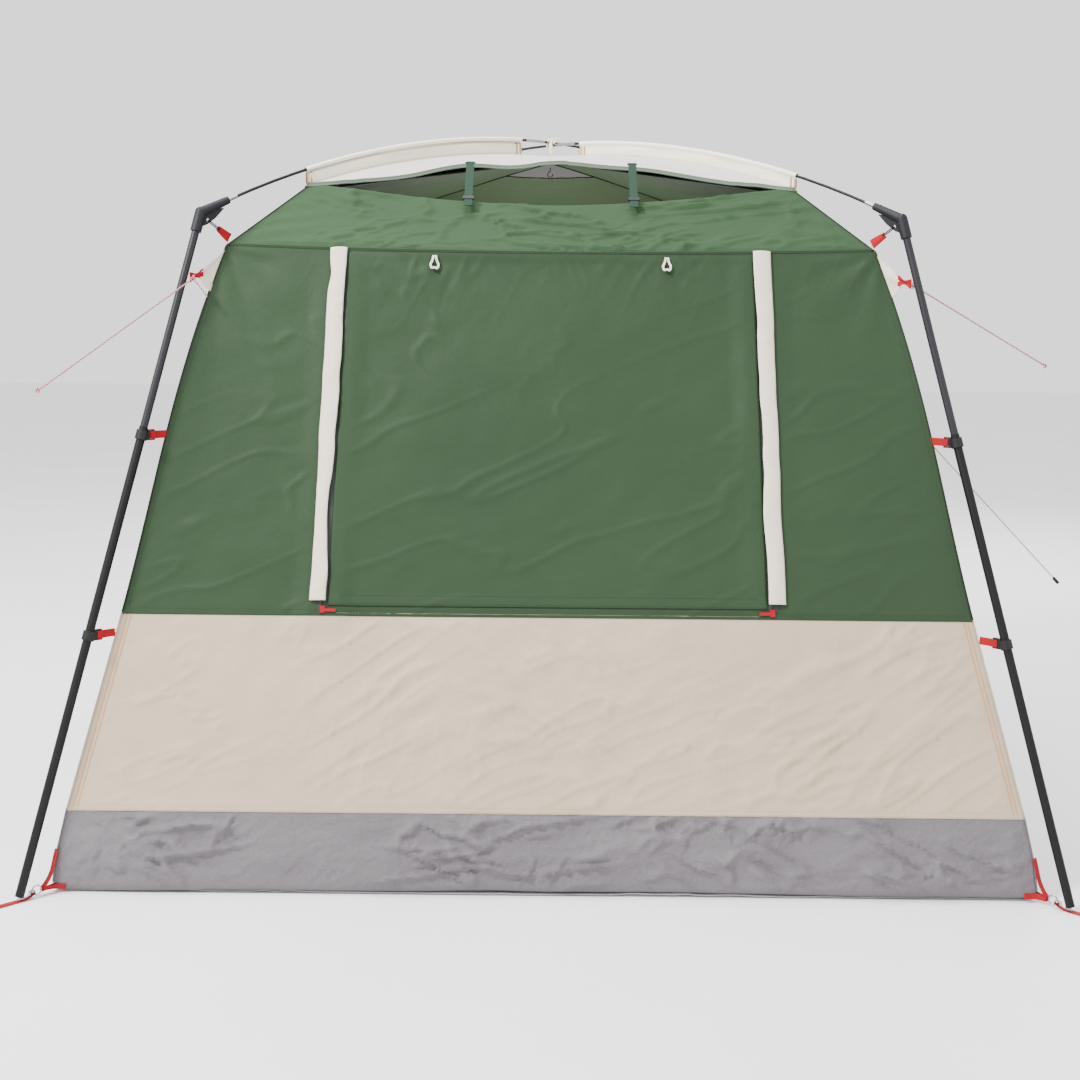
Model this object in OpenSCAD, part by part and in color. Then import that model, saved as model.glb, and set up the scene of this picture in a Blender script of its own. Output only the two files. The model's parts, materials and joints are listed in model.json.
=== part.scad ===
// Dome tent on an outside frame: four telescoping legs and two crossed roof rods
// carry a square cabin with a roll-up window, a roll-up door and a propped roof vent.
// Millimetres, +Z up, origin on the ground under the roof crossing, window side on -Y.

/* [Frame] */
// Distance from the centre lines to each foot, along X and along Y
foot_half = 1310; // [1305:1:1320]
// Distance from the centre lines to each elbow's bend, along X and along Y
elbow_half = 908; // [904:1:912]
// Height of the elbows' bends
elbow_z = 1714; // [1710:1:1718]
// Height of the upper roof rod where the two rods cross
crossing_z = 2000; // [1996:1:2004]
// Diameter of the roof rods
rod_d = 8; // [7:0.5:8]
// Outer diameter of the upper leg tubes
upper_d = 20; // [19:0.5:20]
// Wall of the leg tubes
tube_wall = 1.1; // [1:0.1:1.3]

/* [Cabin] */
// Half width of the cabin at the ground
base_half = 1236; // [1230:1:1238]
// Height of the grey tub wall
tub_z = 210; // [190:1:215]
// Half width at the top of the tub wall
tub_half = 1212; // [1208:1:1216]
// Height of the seam between the cream band and the green wall
band_z = 695; // [690:1:700]
// Half width at that seam
band_half = 1091; // [1088:1:1094]
// Height of the seam between the walls and the roof slopes
eaves_z = 1632; // [1630:1:1634]
// Half width at the eaves
eaves_half = 852; // [850:1:854]
// Thickness of the wall panels
wall_t = 2; // [1.5:0.1:2]

/* [Openings] */
// Height of the window's sill
window_z = 716; // [714:1:720]
// Height of the door's sill
door_z = 216; // [214:1:220]
// Half width between the zips at the window's sill
window_half = 577; // [570:1:580]
// Half width between the zips at the door's sill
door_half = 500; // [480:1:510]
// Width of the storm flaps over the window's zips
flap_w = 44; // [40:1:46]

/* [Webbing] */
// Width of the webbing
web_w = 20; // [18:1:22]
// Diameter of the guy lines
guy_d = 4; // [3.5:0.5:4]

/* [Hidden] */
$fn = 48;

// Turn of each corner's diagonal plane about Z, with local +X pointing out
FL = 225;
FR = 315;
BL = 135;
BR = 45;
CORNERS = [FL, FR, BL, BR];
// Turn of each side about Z, with local -Y pointing out
FRONT = 0;
RIGHT = 90;
BACK = 180;
LEFT = 270;
SIDES = [FRONT, RIGHT, BACK, LEFT];

root2 = sqrt(2);

// Legs, measured along their axis from the ground
foot_r = foot_half * root2;
bend_r = elbow_half * root2;
lean = atan((foot_r - bend_r) / elbow_z);
leg_len = norm([foot_r - bend_r, elbow_z]);
running_gap = 0.1;
lower_d = upper_d + 2 * running_gap + 2 * tube_wall;
tip_s = 13;
tip_len = 6;
lower_top_s = 1228;
upper_bottom_s = 1060;
socket_s = leg_len - 52;

// Roof rods, arcs in the two diagonal planes
mouth_r = 1200;
mouth_z = 1750;
rod_gap = 1;
crossing_drop = rod_d + rod_gap;
function arc_r(top) = (pow(top - mouth_z, 2) + pow(mouth_r, 2)) / (2 * (top - mouth_z));
arc_a = arc_r(crossing_z);
arc_b = arc_r(crossing_z - crossing_drop);
mouth_slope = asin(mouth_r / arc_a);
tip_out = 30;
tip_in = 48;
ferrule_len = 80;
sleeve_from_r = 130;
sleeve_to_r = 948;
sleeve_drop = 40;

// Fittings
clip_zs = [1145, 645];
ring_z = 18;
ring_r = 12;
ring_wire = 2.2;
ring_at_r = 1802;
pin_d = 5.8;
peg_r = foot_r + 74;
peg_hole_d = 9;

// Roof fabric, as half width and height pairs
ridge_half = 664;
ridge_z = 1800;
vent_half = 714;
vent_z = 1762;

// Zips: how far their lines close in with height, and layers above the wall
zip_taper = 0.035;
panel_top_z = 1616;
panel_lift = 2.5;
coil_w = 6;
coil_t = 2.4;
window_coil_lift = 0.4;
door_coil_lift = 2.6;
flap_lift = 10.5;
flap_t = 1.4;
slider_rise = 10;
toggle_z = 1572;
wall_top_z = eaves_z - 2;
seam_gap = 0.3;

function lerp(a, b, k) = a + (b - a) * k;
function leg_r(z) = foot_r - z * tan(lean);
function green_half(z) = lerp(band_half, eaves_half, (z - band_z) / (eaves_z - band_z));
function wall_half(z) = z < band_z ? lerp(tub_half, band_half, (z - tub_z) / (band_z - tub_z)) : green_half(z);
function window_zip(z) = window_half - (z - window_z) * zip_taper;
function door_zip(z) = door_half - (z - door_z) * zip_taper;
door_top = [green_half(panel_top_z), panel_top_z];
door_foot = [wall_half(door_z), door_z];
function door_plane(z) = lerp(door_foot[0], door_top[0], (z - door_z) / (panel_top_z - door_z));
window_slope = atan2(eaves_z - band_z, band_half - eaves_half);
door_slope = atan2(panel_top_z - door_z, door_foot[0] - door_top[0]);

module at_corner(turn) rotate([0, 0, turn]) children();

module along_leg() translate([foot_r, 0, 0]) rotate([0, -lean, 0]) children();

module tube(d, wall, from, to) {
    translate([0, 0, from]) difference() {
        cylinder(d = d, h = to - from);
        translate([0, 0, -1]) cylinder(d = d - 2 * wall, h = to - from + 2);
    }
}

// Flat panel on a side, from half width a0 at height z0 to a1 at z1
module side_panel(turn, p, q, left0, right0, left1, right1, lift = 0, t = wall_t) {
    slope_len = norm([p[0] - q[0], q[1] - p[1]]);
    rotate([0, 0, turn]) translate([0, -p[0], p[1]])
        rotate([atan2(q[1] - p[1], p[0] - q[0]), 0, 0]) translate([0, 0, lift - t])
            linear_extrude(t) polygon([[left0, 0], [right0, 0], [right1, slope_len], [left1, slope_len]]);
}

// Full-width panel: the front and back ones run to the corners, the side ones fit between them
module full_panel(turn, p, q, inset = 0, t = wall_t) {
    gap = (turn == FRONT || turn == BACK ? 0 : t + 0.8) + inset;
    side_panel(turn, p, q, gap - p[0], p[0] - gap, gap - q[0], q[0] - gap, 0, t);
}

// Sliding parts of a zip: local X across, Y up the slope, Z out of the wall
module on_zip_line(turn, side, z, half, p, slope) {
    rotate([0, 0, turn]) translate([side * half, -p, z])
        rotate([slope, 0, 0]) rotate([0, 0, side * atan(zip_taper * sin(slope))]) children();
}

// ---- Frame ----

module elbow(turn) color([0.09, 0.09, 0.10]) at_corner(turn) difference() {
    union() {
        along_leg() translate([0, 0, socket_s]) cylinder(d = 29, h = leg_len - socket_s);
        translate([bend_r, 0, elbow_z]) sphere(d = 29);
        translate([mouth_r, 0, mouth_z]) rotate([0, 90 + mouth_slope, 0]) cylinder(d1 = 20, d2 = 27, h = 91);
        translate([bend_r, 3, elbow_z]) rotate([90, 0, 0])
            linear_extrude(6) polygon([[-72, 16], [0, 0], [14, -42], [-18, -30], [-44, -12]]);
    }
    along_leg() translate([0, 0, socket_s - 1]) cylinder(d = upper_d + 0.1, h = 37);
    translate([mouth_r, 0, mouth_z]) rotate([0, 90 + mouth_slope, 0])
        translate([0, 0, -1]) cylinder(d = 10.1, h = tip_in + 2);
    translate([bend_r - 21, 10, elbow_z - 19]) rotate([90, 0, 0]) cylinder(d = 10, h = 20);
}

module leg_upper(turn) color([0.25, 0.25, 0.27]) at_corner(turn) along_leg()
    tube(upper_d, tube_wall, upper_bottom_s, socket_s + 35);

module leg_lower(turn) color([0.10, 0.10, 0.11]) at_corner(turn) along_leg() {
    tube(lower_d, tube_wall, tip_s + tip_len + 0.1, lower_top_s);
    difference() {
        union() {
            translate([0, 0, tip_s]) cylinder(d = lower_d, h = tip_len);
            translate([0, 0, tip_s]) cylinder(d = lower_d - 2 * tube_wall - 0.1, h = tip_len + 30);
        }
        translate([0, 0, tip_s - 1]) cylinder(d = pin_d + 0.2, h = tip_len + 32);
    }
}

// Arc about the centre of a roof rod, between two distances from the crossing
module rod_arc(turn, r, top, from_r, to_r) {
    a0 = asin(from_r / r);
    a1 = asin(to_r / r);
    at_corner(turn) translate([0, 0, top - r]) rotate([90, 0, 0]) rotate([0, 0, 90 - a1])
        rotate_extrude(angle = a1 - a0) children();
}

module rod_of(turn, from_r, to_r) {
    upper = turn == FL || turn == BR;
    r = upper ? arc_a : arc_b;
    rod_arc(turn, r, upper ? crossing_z : crossing_z - crossing_drop, from_r, to_r) translate([r, 0]) children();
}

module roof_rod(turn) color([0.13, 0.13, 0.14]) rod_of(turn, 8 - mouth_r, mouth_r - 8) circle(d = rod_d);

module ring_section(d_in, d_out) difference() {
    circle(d = d_out);
    circle(d = d_in);
}

module rod_ferrules() color([0.72, 0.72, 0.74]) {
    for (turn = CORNERS) at_corner(turn) translate([mouth_r, 0, mouth_z]) rotate([0, 90 + mouth_slope, 0])
        difference() {
            translate([0, 0, -tip_out]) cylinder(d = 10, h = tip_out + tip_in);
            translate([0, 0, -tip_out - 1]) cylinder(d = rod_d + 1.2, h = tip_out - 2);
        }
    for (turn = CORNERS) rod_of(turn, 600, 600 + ferrule_len) ring_section(rod_d + 0.2, rod_d + 1.6);
    for (turn = [FL, FR]) rod_of(turn, 30, 30 + ferrule_len) ring_section(rod_d + 0.2, rod_d + 1.6);
}

module apex_tie() color([0.92, 0.90, 0.84]) difference() {
    translate([-13, -13, crossing_z - crossing_drop - 8]) cube([26, 26, crossing_drop + 20]);
    translate([0, 0, crossing_z]) rotate([90, 0, FL + 90]) cylinder(d = rod_d + 0.4, h = 60, center = true);
    translate([0, 0, crossing_z - crossing_drop]) rotate([90, 0, FR + 90])
        cylinder(d = rod_d + 0.4, h = 60, center = true);
}

module pole_sleeves() color([0.92, 0.91, 0.87]) for (turn = CORNERS)
    rod_of(turn, sleeve_from_r, sleeve_to_r) {
        ring_section(10.6, 12);
        translate([-sleeve_drop, -0.8]) square([sleeve_drop - 5.6, 1.6]);
    }

// ---- Feet and clips ----

module ring(r, wire) rotate_extrude() translate([r, 0]) circle(d = 2 * wire);

module foot_rings() color([0.75, 0.75, 0.77]) for (turn = CORNERS)
    at_corner(turn) translate([ring_at_r, 0, ring_z]) rotate([90, 0, 0]) ring(ring_r, ring_wire);

module foot_pins() color([0.75, 0.75, 0.77]) for (turn = CORNERS) at_corner(turn) {
    eye_at = ring_at_r + ring_r;
    translate([eye_at, 0, ring_z]) ring(5.6, 1.9);
    translate([eye_at + 6, -2.5, 3.2]) cube([5, 5, ring_z - 1.2]);
    translate([eye_at + 6, -2.5, 3.2]) cube([foot_r - eye_at - 4, 5, 4.8]);
    along_leg() translate([0, 0, 5.5]) cylinder(d = pin_d, h = 40);
}

module corner_webbing() color([0.78, 0.05, 0.13]) for (turn = CORNERS) at_corner(turn) {
    inner = ring_at_r - ring_r;
    corner = base_half * root2 + 1.5;
    translate([0, 1, 0]) rotate([90, 0, 0]) linear_extrude(2)
        polygon([[corner - 8, 100], [corner + 5, 112], [inner - 4, ring_z + 4], [inner - 4, ring_z - 4],
                 [corner + 4, 6], [corner + 1, 14], [corner + 18, ring_z + 14]]);
    translate([inner, 0, ring_z - 3.5]) difference() {
        cylinder(r = 4.6, h = 7);
        translate([0, 0, -1]) cylinder(r = 3.2, h = 9);
    }
    difference() {
        translate([inner - 2, -web_w / 2, 0]) cube([peg_r + 16 - inner, web_w, 2]);
        translate([peg_r, 0, -1]) cylinder(d = peg_hole_d, h = 4);
    }
}

module pole_clips() color([0.09, 0.09, 0.10]) for (turn = CORNERS, z = clip_zs)
    at_corner(turn) translate([leg_r(z), 0, z]) difference() {
        union() {
            rotate([0, -lean, 0]) translate([0, 0, -12]) cylinder(d = 31, h = 24);
            translate([-36, -4, -14]) cube([26, 8, 28]);
        }
        rotate([0, -lean, 0]) translate([0, 0, -30]) cylinder(d = lower_d + 0.8, h = 60);
        translate([-30, -5, -11]) cube([9, 10, 22]);
    }

module clip_straps() color([0.78, 0.05, 0.13]) for (turn = CORNERS, z = clip_zs) {
    reach = leg_r(z) - wall_half(z) * root2 - 4;
    at_corner(turn) translate([leg_r(z), 0, z - web_w / 2]) linear_extrude(web_w) difference() {
        translate([-reach, -6]) square([reach - 22.5, 12]);
        translate([-36.6, -4.6]) square([12.6, 9.2]);
        translate([-reach - 1, 1.5]) square([reach - 38, 10]);
        translate([-reach - 1, -11.5]) square([reach - 38, 10]);
    }
}

// The elastic runs from the tab's eye to the elbow's web
tab_root = [wall_half(eaves_z) * root2 - 8, eaves_z + 20];
web_eye = [bend_r - 21, elbow_z - 19];
tab_turn = atan2(web_eye[1] - tab_root[1], web_eye[0] - tab_root[0]);
tab_len = 44;
loop_len = norm(web_eye - tab_root) - tab_len + 4;

module along_tab() translate([tab_root[0], 0, tab_root[1]]) rotate([0, -tab_turn, 0]) children();

module corner_tabs() color([0.78, 0.05, 0.13]) for (turn = CORNERS) at_corner(turn) along_tab()
    translate([0, 1.2, 0]) rotate([90, 0, 0]) linear_extrude(2.4) difference() {
        polygon([[2, -12], [2, 12], [tab_len, 6], [tab_len, -6]]);
        translate([tab_len - 5, 0]) circle(d = 5);
    }

module corner_elastics() color([0.06, 0.06, 0.07]) for (turn = CORNERS) at_corner(turn) along_tab()
    translate([tab_len, 0, 0]) {
        for (side = [-1, 1]) translate([0, side * 5, 0]) rotate([0, 90, 0]) cylinder(d = 3, h = loop_len - 10);
        rotate([0, 0, 90]) rotate_extrude(angle = 180) translate([5, 0]) circle(d = 3);
        translate([loop_len - 10, 0, 0]) rotate([0, 0, -90]) rotate_extrude(angle = 180)
            translate([5, 0]) circle(d = 3);
    }

// ---- Cabin ----

module floor_sheet() color([0.45, 0.44, 0.45])
    translate([3 - base_half, 3 - base_half, 0]) cube([2 * base_half - 6, 2 * base_half - 6, 2]);

module tub_walls() color([0.62, 0.60, 0.62]) for (turn = SIDES)
    full_panel(turn, [base_half, 2.6], [tub_half, tub_z - seam_gap]);

module door_side(low, high) for (side = [-1, 1]) mirror([side < 0 ? 1 : 0, 0, 0])
    side_panel(BACK, [wall_half(low), low], [wall_half(high), high], door_zip(low), wall_half(low),
               door_zip(high), wall_half(high));

module cream_walls() color([0.82, 0.79, 0.74]) {
    for (turn = [FRONT, RIGHT, LEFT])
        full_panel(turn, [wall_half(tub_z + seam_gap), tub_z + seam_gap],
                   [wall_half(band_z - seam_gap), band_z - seam_gap]);
    door_side(tub_z + seam_gap, band_z - seam_gap);
}

module green_wall_front() color([0.37, 0.46, 0.36]) {
    for (side = [-1, 1]) mirror([side < 0 ? 1 : 0, 0, 0])
        side_panel(FRONT, [band_half, band_z], [green_half(wall_top_z), wall_top_z], window_zip(band_z),
                   band_half, window_zip(wall_top_z), green_half(wall_top_z));
    for (span = [[band_z, window_z - 0.5], [panel_top_z + 3, wall_top_z]])
        side_panel(FRONT, [green_half(span[0]), span[0]], [green_half(span[1]), span[1]],
                   0.4 - window_zip(span[0]), window_zip(span[0]) - 0.4,
                   0.4 - window_zip(span[1]), window_zip(span[1]) - 0.4);
}

module green_side(turn) color([0.37, 0.46, 0.36])
    full_panel(turn, [band_half, band_z], [green_half(wall_top_z), wall_top_z]);

module green_wall_back() color([0.37, 0.46, 0.36]) {
    door_side(band_z, wall_top_z);
    side_panel(BACK, [green_half(panel_top_z + 3), panel_top_z + 3], [green_half(wall_top_z), wall_top_z],
               0.4 - door_zip(panel_top_z), door_zip(panel_top_z) - 0.4,
               0.4 - door_zip(wall_top_z), door_zip(wall_top_z) - 0.4);
}

module roof_slopes() color([0.44, 0.55, 0.43]) {
    full_panel(FRONT, [eaves_half - 1, eaves_z + 1], [vent_half, vent_z]);
    for (turn = [RIGHT, BACK, LEFT]) full_panel(turn, [eaves_half - 1, eaves_z + 1],
                                                [ridge_half + 2, ridge_z - 2]);
}

module roof_facet(turn, p, q, t) full_panel(turn, p, q, turn == FRONT || turn == BACK ? 3 : 1, t);

ceiling_knee = [330, 1888];
ceiling_top = [6, 1925];
mesh_p = [170, 1908];

module ceiling() color([0.33, 0.40, 0.29]) {
    for (turn = [RIGHT, LEFT, BACK]) roof_facet(turn, [ridge_half, ridge_z], ceiling_knee + [1, 0], 1.5);
    for (turn = [RIGHT, LEFT]) roof_facet(turn, ceiling_knee, ceiling_top, 1.5);
    roof_facet(BACK, ceiling_knee, mesh_p + [1, 0], 1.5);
}

module ceiling_mesh() color([0.46, 0.45, 0.43]) roof_facet(BACK, mesh_p, ceiling_top, 1.5);

module ceiling_piping() color([0.06, 0.06, 0.07]) for (turn = CORNERS) at_corner(turn)
    for (ends = [[[ridge_half - 8, ridge_z - 8], ceiling_knee - [0, 10]],
                 [ceiling_knee - [4, 8.5], ceiling_top + [16, -8]]])
        let (p = [ends[0][0] * root2, ends[0][1]], q = [ends[1][0] * root2, ends[1][1]])
            translate([p[0], 0, p[1]]) rotate([0, atan2(q[0] - p[0], q[1] - p[1]), 0])
                cylinder(d = 3, h = norm(q - p));

fly_knee = [300, 1926];
fly_top = [8, 1955];

module roof_fly() color([0.92, 0.91, 0.87]) {
    roof_facet(FRONT, [580, 1872], fly_knee + [1.5, 0], 1.5);
    for (turn = [RIGHT, BACK, LEFT]) roof_facet(turn, [640, 1822], fly_knee + [1.5, 0], 1.5);
    for (turn = SIDES) roof_facet(turn, fly_knee, fly_top, 1.5);
}

// ---- Window, door and zips ----

module window_mesh() color([0.15, 0.15, 0.15])
    side_panel(FRONT, [green_half(window_z), window_z], [green_half(panel_top_z + 1), panel_top_z + 1],
               0.4 - window_zip(window_z), window_zip(window_z) - 0.4,
               0.4 - window_zip(panel_top_z), window_zip(panel_top_z) - 0.4, -0.5, 1);

module window_panel() color([0.37, 0.46, 0.36])
    side_panel(FRONT, [green_half(window_z), window_z], [green_half(panel_top_z), panel_top_z],
               12.5 - window_zip(window_z), window_zip(window_z) - 12.5,
               12.5 - window_zip(panel_top_z), window_zip(panel_top_z) - 12.5, panel_lift);

module toggles(turn, half, p, slope, lift) for (side = [-1, 1])
    on_zip_line(turn, side, toggle_z, half, p, slope) {
        translate([-5, 0, lift + 0.5]) cube([10, 40, 1.5]);
        translate([0, 6, lift + 5.5]) rotate([-90, 0, 0]) cylinder(d = 6.5, h = 24);
    }

module window_toggles() color([0.86, 0.84, 0.78])
    toggles(FRONT, 305, green_half(toggle_z), window_slope, panel_lift);

module door_toggles() color([0.86, 0.84, 0.78])
    toggles(BACK, 250, door_plane(toggle_z), door_slope, panel_lift + 1);

module window_zips() color([0.10, 0.12, 0.10]) for (side = [-1, 1])
    on_zip_line(FRONT, side, band_z + 3, window_zip(band_z + 3), green_half(band_z + 3), window_slope)
        translate([-coil_w / 2, 0, window_coil_lift])
            cube([coil_w, (wall_top_z - band_z - 6) / sin(window_slope), coil_t]);

module door_zips() color([0.10, 0.12, 0.10]) for (side = [-1, 1])
    on_zip_line(BACK, side, tub_z + 3, door_zip(tub_z + 3), door_plane(tub_z + 3), door_slope)
        translate([-coil_w / 2, 0, door_coil_lift])
            cube([coil_w, (wall_top_z - tub_z - 8) / sin(door_slope), coil_t]);

module storm_flap(side) color([0.88, 0.86, 0.80]) mirror([side < 0 ? 1 : 0, 0, 0])
    side_panel(FRONT, [green_half(723), 723], [green_half(eaves_z), eaves_z],
               window_zip(723) - 11.5, window_zip(723) - 11.5 + flap_w,
               window_zip(eaves_z) - 11.5, window_zip(eaves_z) - 11.5 + flap_w, flap_lift, flap_t);

// Slider round the coil, with a soft pull lying to one side
module zip_slider(turn, side, z, half, p, slope, base, pull_side) color([0.78, 0.05, 0.13])
    on_zip_line(turn, side, z, half, p, slope) {
        difference() {
            translate([-6, -9, base]) cube([12, 18, 5.6]);
            translate([-coil_w / 2 - 0.4, -10, base - 1]) cube([coil_w + 0.8, 20, coil_t + 1.4]);
        }
        translate([pull_side > 0 ? 5 : -34, -5, base + 3.6]) cube([29, 8, 2]);
    }

module window_slider(side)
    zip_slider(FRONT, side, window_z - slider_rise, window_zip(window_z - slider_rise),
               green_half(window_z - slider_rise), window_slope, window_coil_lift, -side);

module door_slider(side)
    zip_slider(BACK, side, door_z + 12, door_zip(door_z + 12), door_plane(door_z + 12), door_slope,
               door_coil_lift, side);

module door_panel() color([0.37, 0.46, 0.36])
    side_panel(BACK, door_foot, door_top,
               12.5 - door_zip(door_z), door_zip(door_z) - 12.5,
               12.5 - door_zip(panel_top_z), door_zip(panel_top_z) - 12.5, panel_lift + 1);

// ---- Vent and hook ----

strap_top = [600, 1879];
strap_foot = [741, 1750];
strap_x = 224;
strap_len = norm([strap_foot[0] - strap_top[0], strap_top[1] - strap_foot[1]]);

// Local X across, Y up the strap, Z out
module on_strap(side) translate([side * strap_x, -strap_foot[0], strap_foot[1]])
    rotate([atan2(strap_top[1] - strap_foot[1], strap_foot[0] - strap_top[0]), 0, 0]) children();

module vent_straps() color([0.13, 0.24, 0.17]) for (side = [-1, 1]) on_strap(side) {
    translate([-web_w / 2 - 1, 0, 0]) cube([web_w + 2, strap_len, 1.6]);
    translate([-web_w / 2 - 4, strap_len - 8, -0.5]) cube([web_w + 8, 5, 2.6]);
}

module strap_glide(side) color([0.05, 0.05, 0.05]) on_strap(side) difference() {
    translate([-web_w / 2 - 5, 26, -2]) cube([web_w + 10, 12, 5.6]);
    translate([-web_w / 2 - 1.4, 20, -0.4]) cube([web_w + 2.8, 24, 2.4]);
}

module lantern_hook() color([0.06, 0.06, 0.07]) translate([0, 0, 1919]) {
    rotate([0, 90, 0]) ring(3.5, 1.2);
    translate([0, 0, -9]) cylinder(d = 2.6, h = 6);
    translate([0, 0, -17]) rotate([90, 0, 0]) rotate([0, 0, 90]) rotate_extrude(angle = 285)
        translate([8, 0]) circle(d = 2.6);
}

// ---- Guy lines ----

patch_low_z = 1512;
patch_high_z = 1624;
patch_tip = [1302, 1555];

module guyout_patches() color([0.88, 0.86, 0.80]) for (turn = CORNERS) at_corner(turn)
    translate([0, 0.8, 0]) rotate([90, 0, 0]) linear_extrude(1.6)
        polygon([[green_half(patch_low_z) * root2 + 1.5, patch_low_z], patch_tip + [-4, -8], patch_tip,
                 [green_half(patch_high_z) * root2 + 1.5, patch_high_z]]);

module guyout_tabs() color([0.78, 0.05, 0.13]) for (turn = CORNERS) at_corner(turn)
    translate([patch_tip[0] + 1, 0, patch_tip[1] - 4]) rotate([0, 28, 0]) difference() {
        translate([0, -1.5, -7]) cube([20, 3, 14]);
        translate([14, 5, 0]) rotate([90, 0, 0]) cylinder(d = 6, h = 10);
    }

// Straight run of a taut line, in even steps
function run(p, q, steps) = [for (i = [0:steps]) p + (q - p) * i / steps];

// Tube swept along a route: rings in the plane across the route's overall direction
module swept(path, d) {
    sides = 8;
    rings = len(path);
    way = path[rings - 1] - path[0];
    along = way / norm(way);
    across = cross(along, [0, 0, 1]) / norm(cross(along, [0, 0, 1]));
    over = cross(across, along);
    points = [for (c = path, k = [0:sides - 1])
        c + d / 2 * (cos(k * 360 / sides) * across + sin(k * 360 / sides) * over)];
    walls = [for (i = [0:rings - 2], k = [0:sides - 1])
        [i * sides + k, i * sides + (k + 1) % sides, (i + 1) * sides + (k + 1) % sides, (i + 1) * sides + k]];
    ends = [[for (k = [sides - 1:-1:0]) k], [for (k = [0:sides - 1]) (rings - 1) * sides + k]];
    polyhedron(points, concat(walls, ends));
}

front_left_route = run([-920, -945, 1546], [-1223, -1300, 1265], 16);
front_right_route = run([940, -915, 1546], [1322, -850, 1336], 16);
back_right_route = run([940, 918, 1544], [2059, 1200, 437], 44);

module guy_front_left() color([0.85, 0.25, 0.30]) swept(front_left_route, guy_d);

module guy_front_right() color([0.85, 0.25, 0.30]) swept(front_right_route, guy_d);

module guy_back_right() color([0.85, 0.25, 0.30]) swept(back_right_route, guy_d);

module guy_tensioner() color([0.08, 0.08, 0.09]) {
    end = back_right_route[len(back_right_route) - 1];
    before = back_right_route[len(back_right_route) - 2];
    way = end - before;
    flat = norm([way[0], way[1]]);
    translate(end) rotate([0, 90 + atan2(-way[2], flat), atan2(way[1], way[0])])
        translate([-6, -2.5, 0.3]) cube([12, 5, 34]);
}

elbow(FL);  // elbow_fl
elbow(FR);  // elbow_fr
elbow(BL);  // elbow_bl
elbow(BR);  // elbow_br
leg_upper(FL);  // leg_upper_fl
leg_upper(FR);  // leg_upper_fr
leg_upper(BL);  // leg_upper_bl
leg_upper(BR);  // leg_upper_br
leg_lower(FL);  // leg_lower_fl
leg_lower(FR);  // leg_lower_fr
leg_lower(BL);  // leg_lower_bl
leg_lower(BR);  // leg_lower_br
roof_rod(FL);  // roof_rod_a
roof_rod(FR);  // roof_rod_b
rod_ferrules();
apex_tie();
pole_sleeves();
foot_rings();
foot_pins();
corner_webbing();
pole_clips();
clip_straps();
corner_tabs();
corner_elastics();
floor_sheet();
tub_walls();
cream_walls();
green_wall_front();
green_side(LEFT);  // green_wall_left
green_side(RIGHT);  // green_wall_right
green_wall_back();
roof_slopes();
ceiling();
ceiling_mesh();
ceiling_piping();
roof_fly();
window_mesh();
window_panel();
window_toggles();
window_zips();
storm_flap(-1);  // storm_flap_left
storm_flap(1);  // storm_flap_right
window_slider(-1);  // zip_slider_left
window_slider(1);  // zip_slider_right
door_panel();
door_toggles();
door_zips();
door_slider(-1);  // door_slider_left
door_slider(1);  // door_slider_right
vent_straps();
strap_glide(-1);  // strap_glide_left
strap_glide(1);  // strap_glide_right
lantern_hook();
guyout_patches();
guyout_tabs();
guy_front_left();
guy_front_right();
guy_back_right();
guy_tensioner();
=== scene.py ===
"""Looks of a dome tent: wrinkled cloth, webbing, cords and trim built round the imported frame.

Metres, +Z up, window on -Y.
"""

import json
import math

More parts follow.
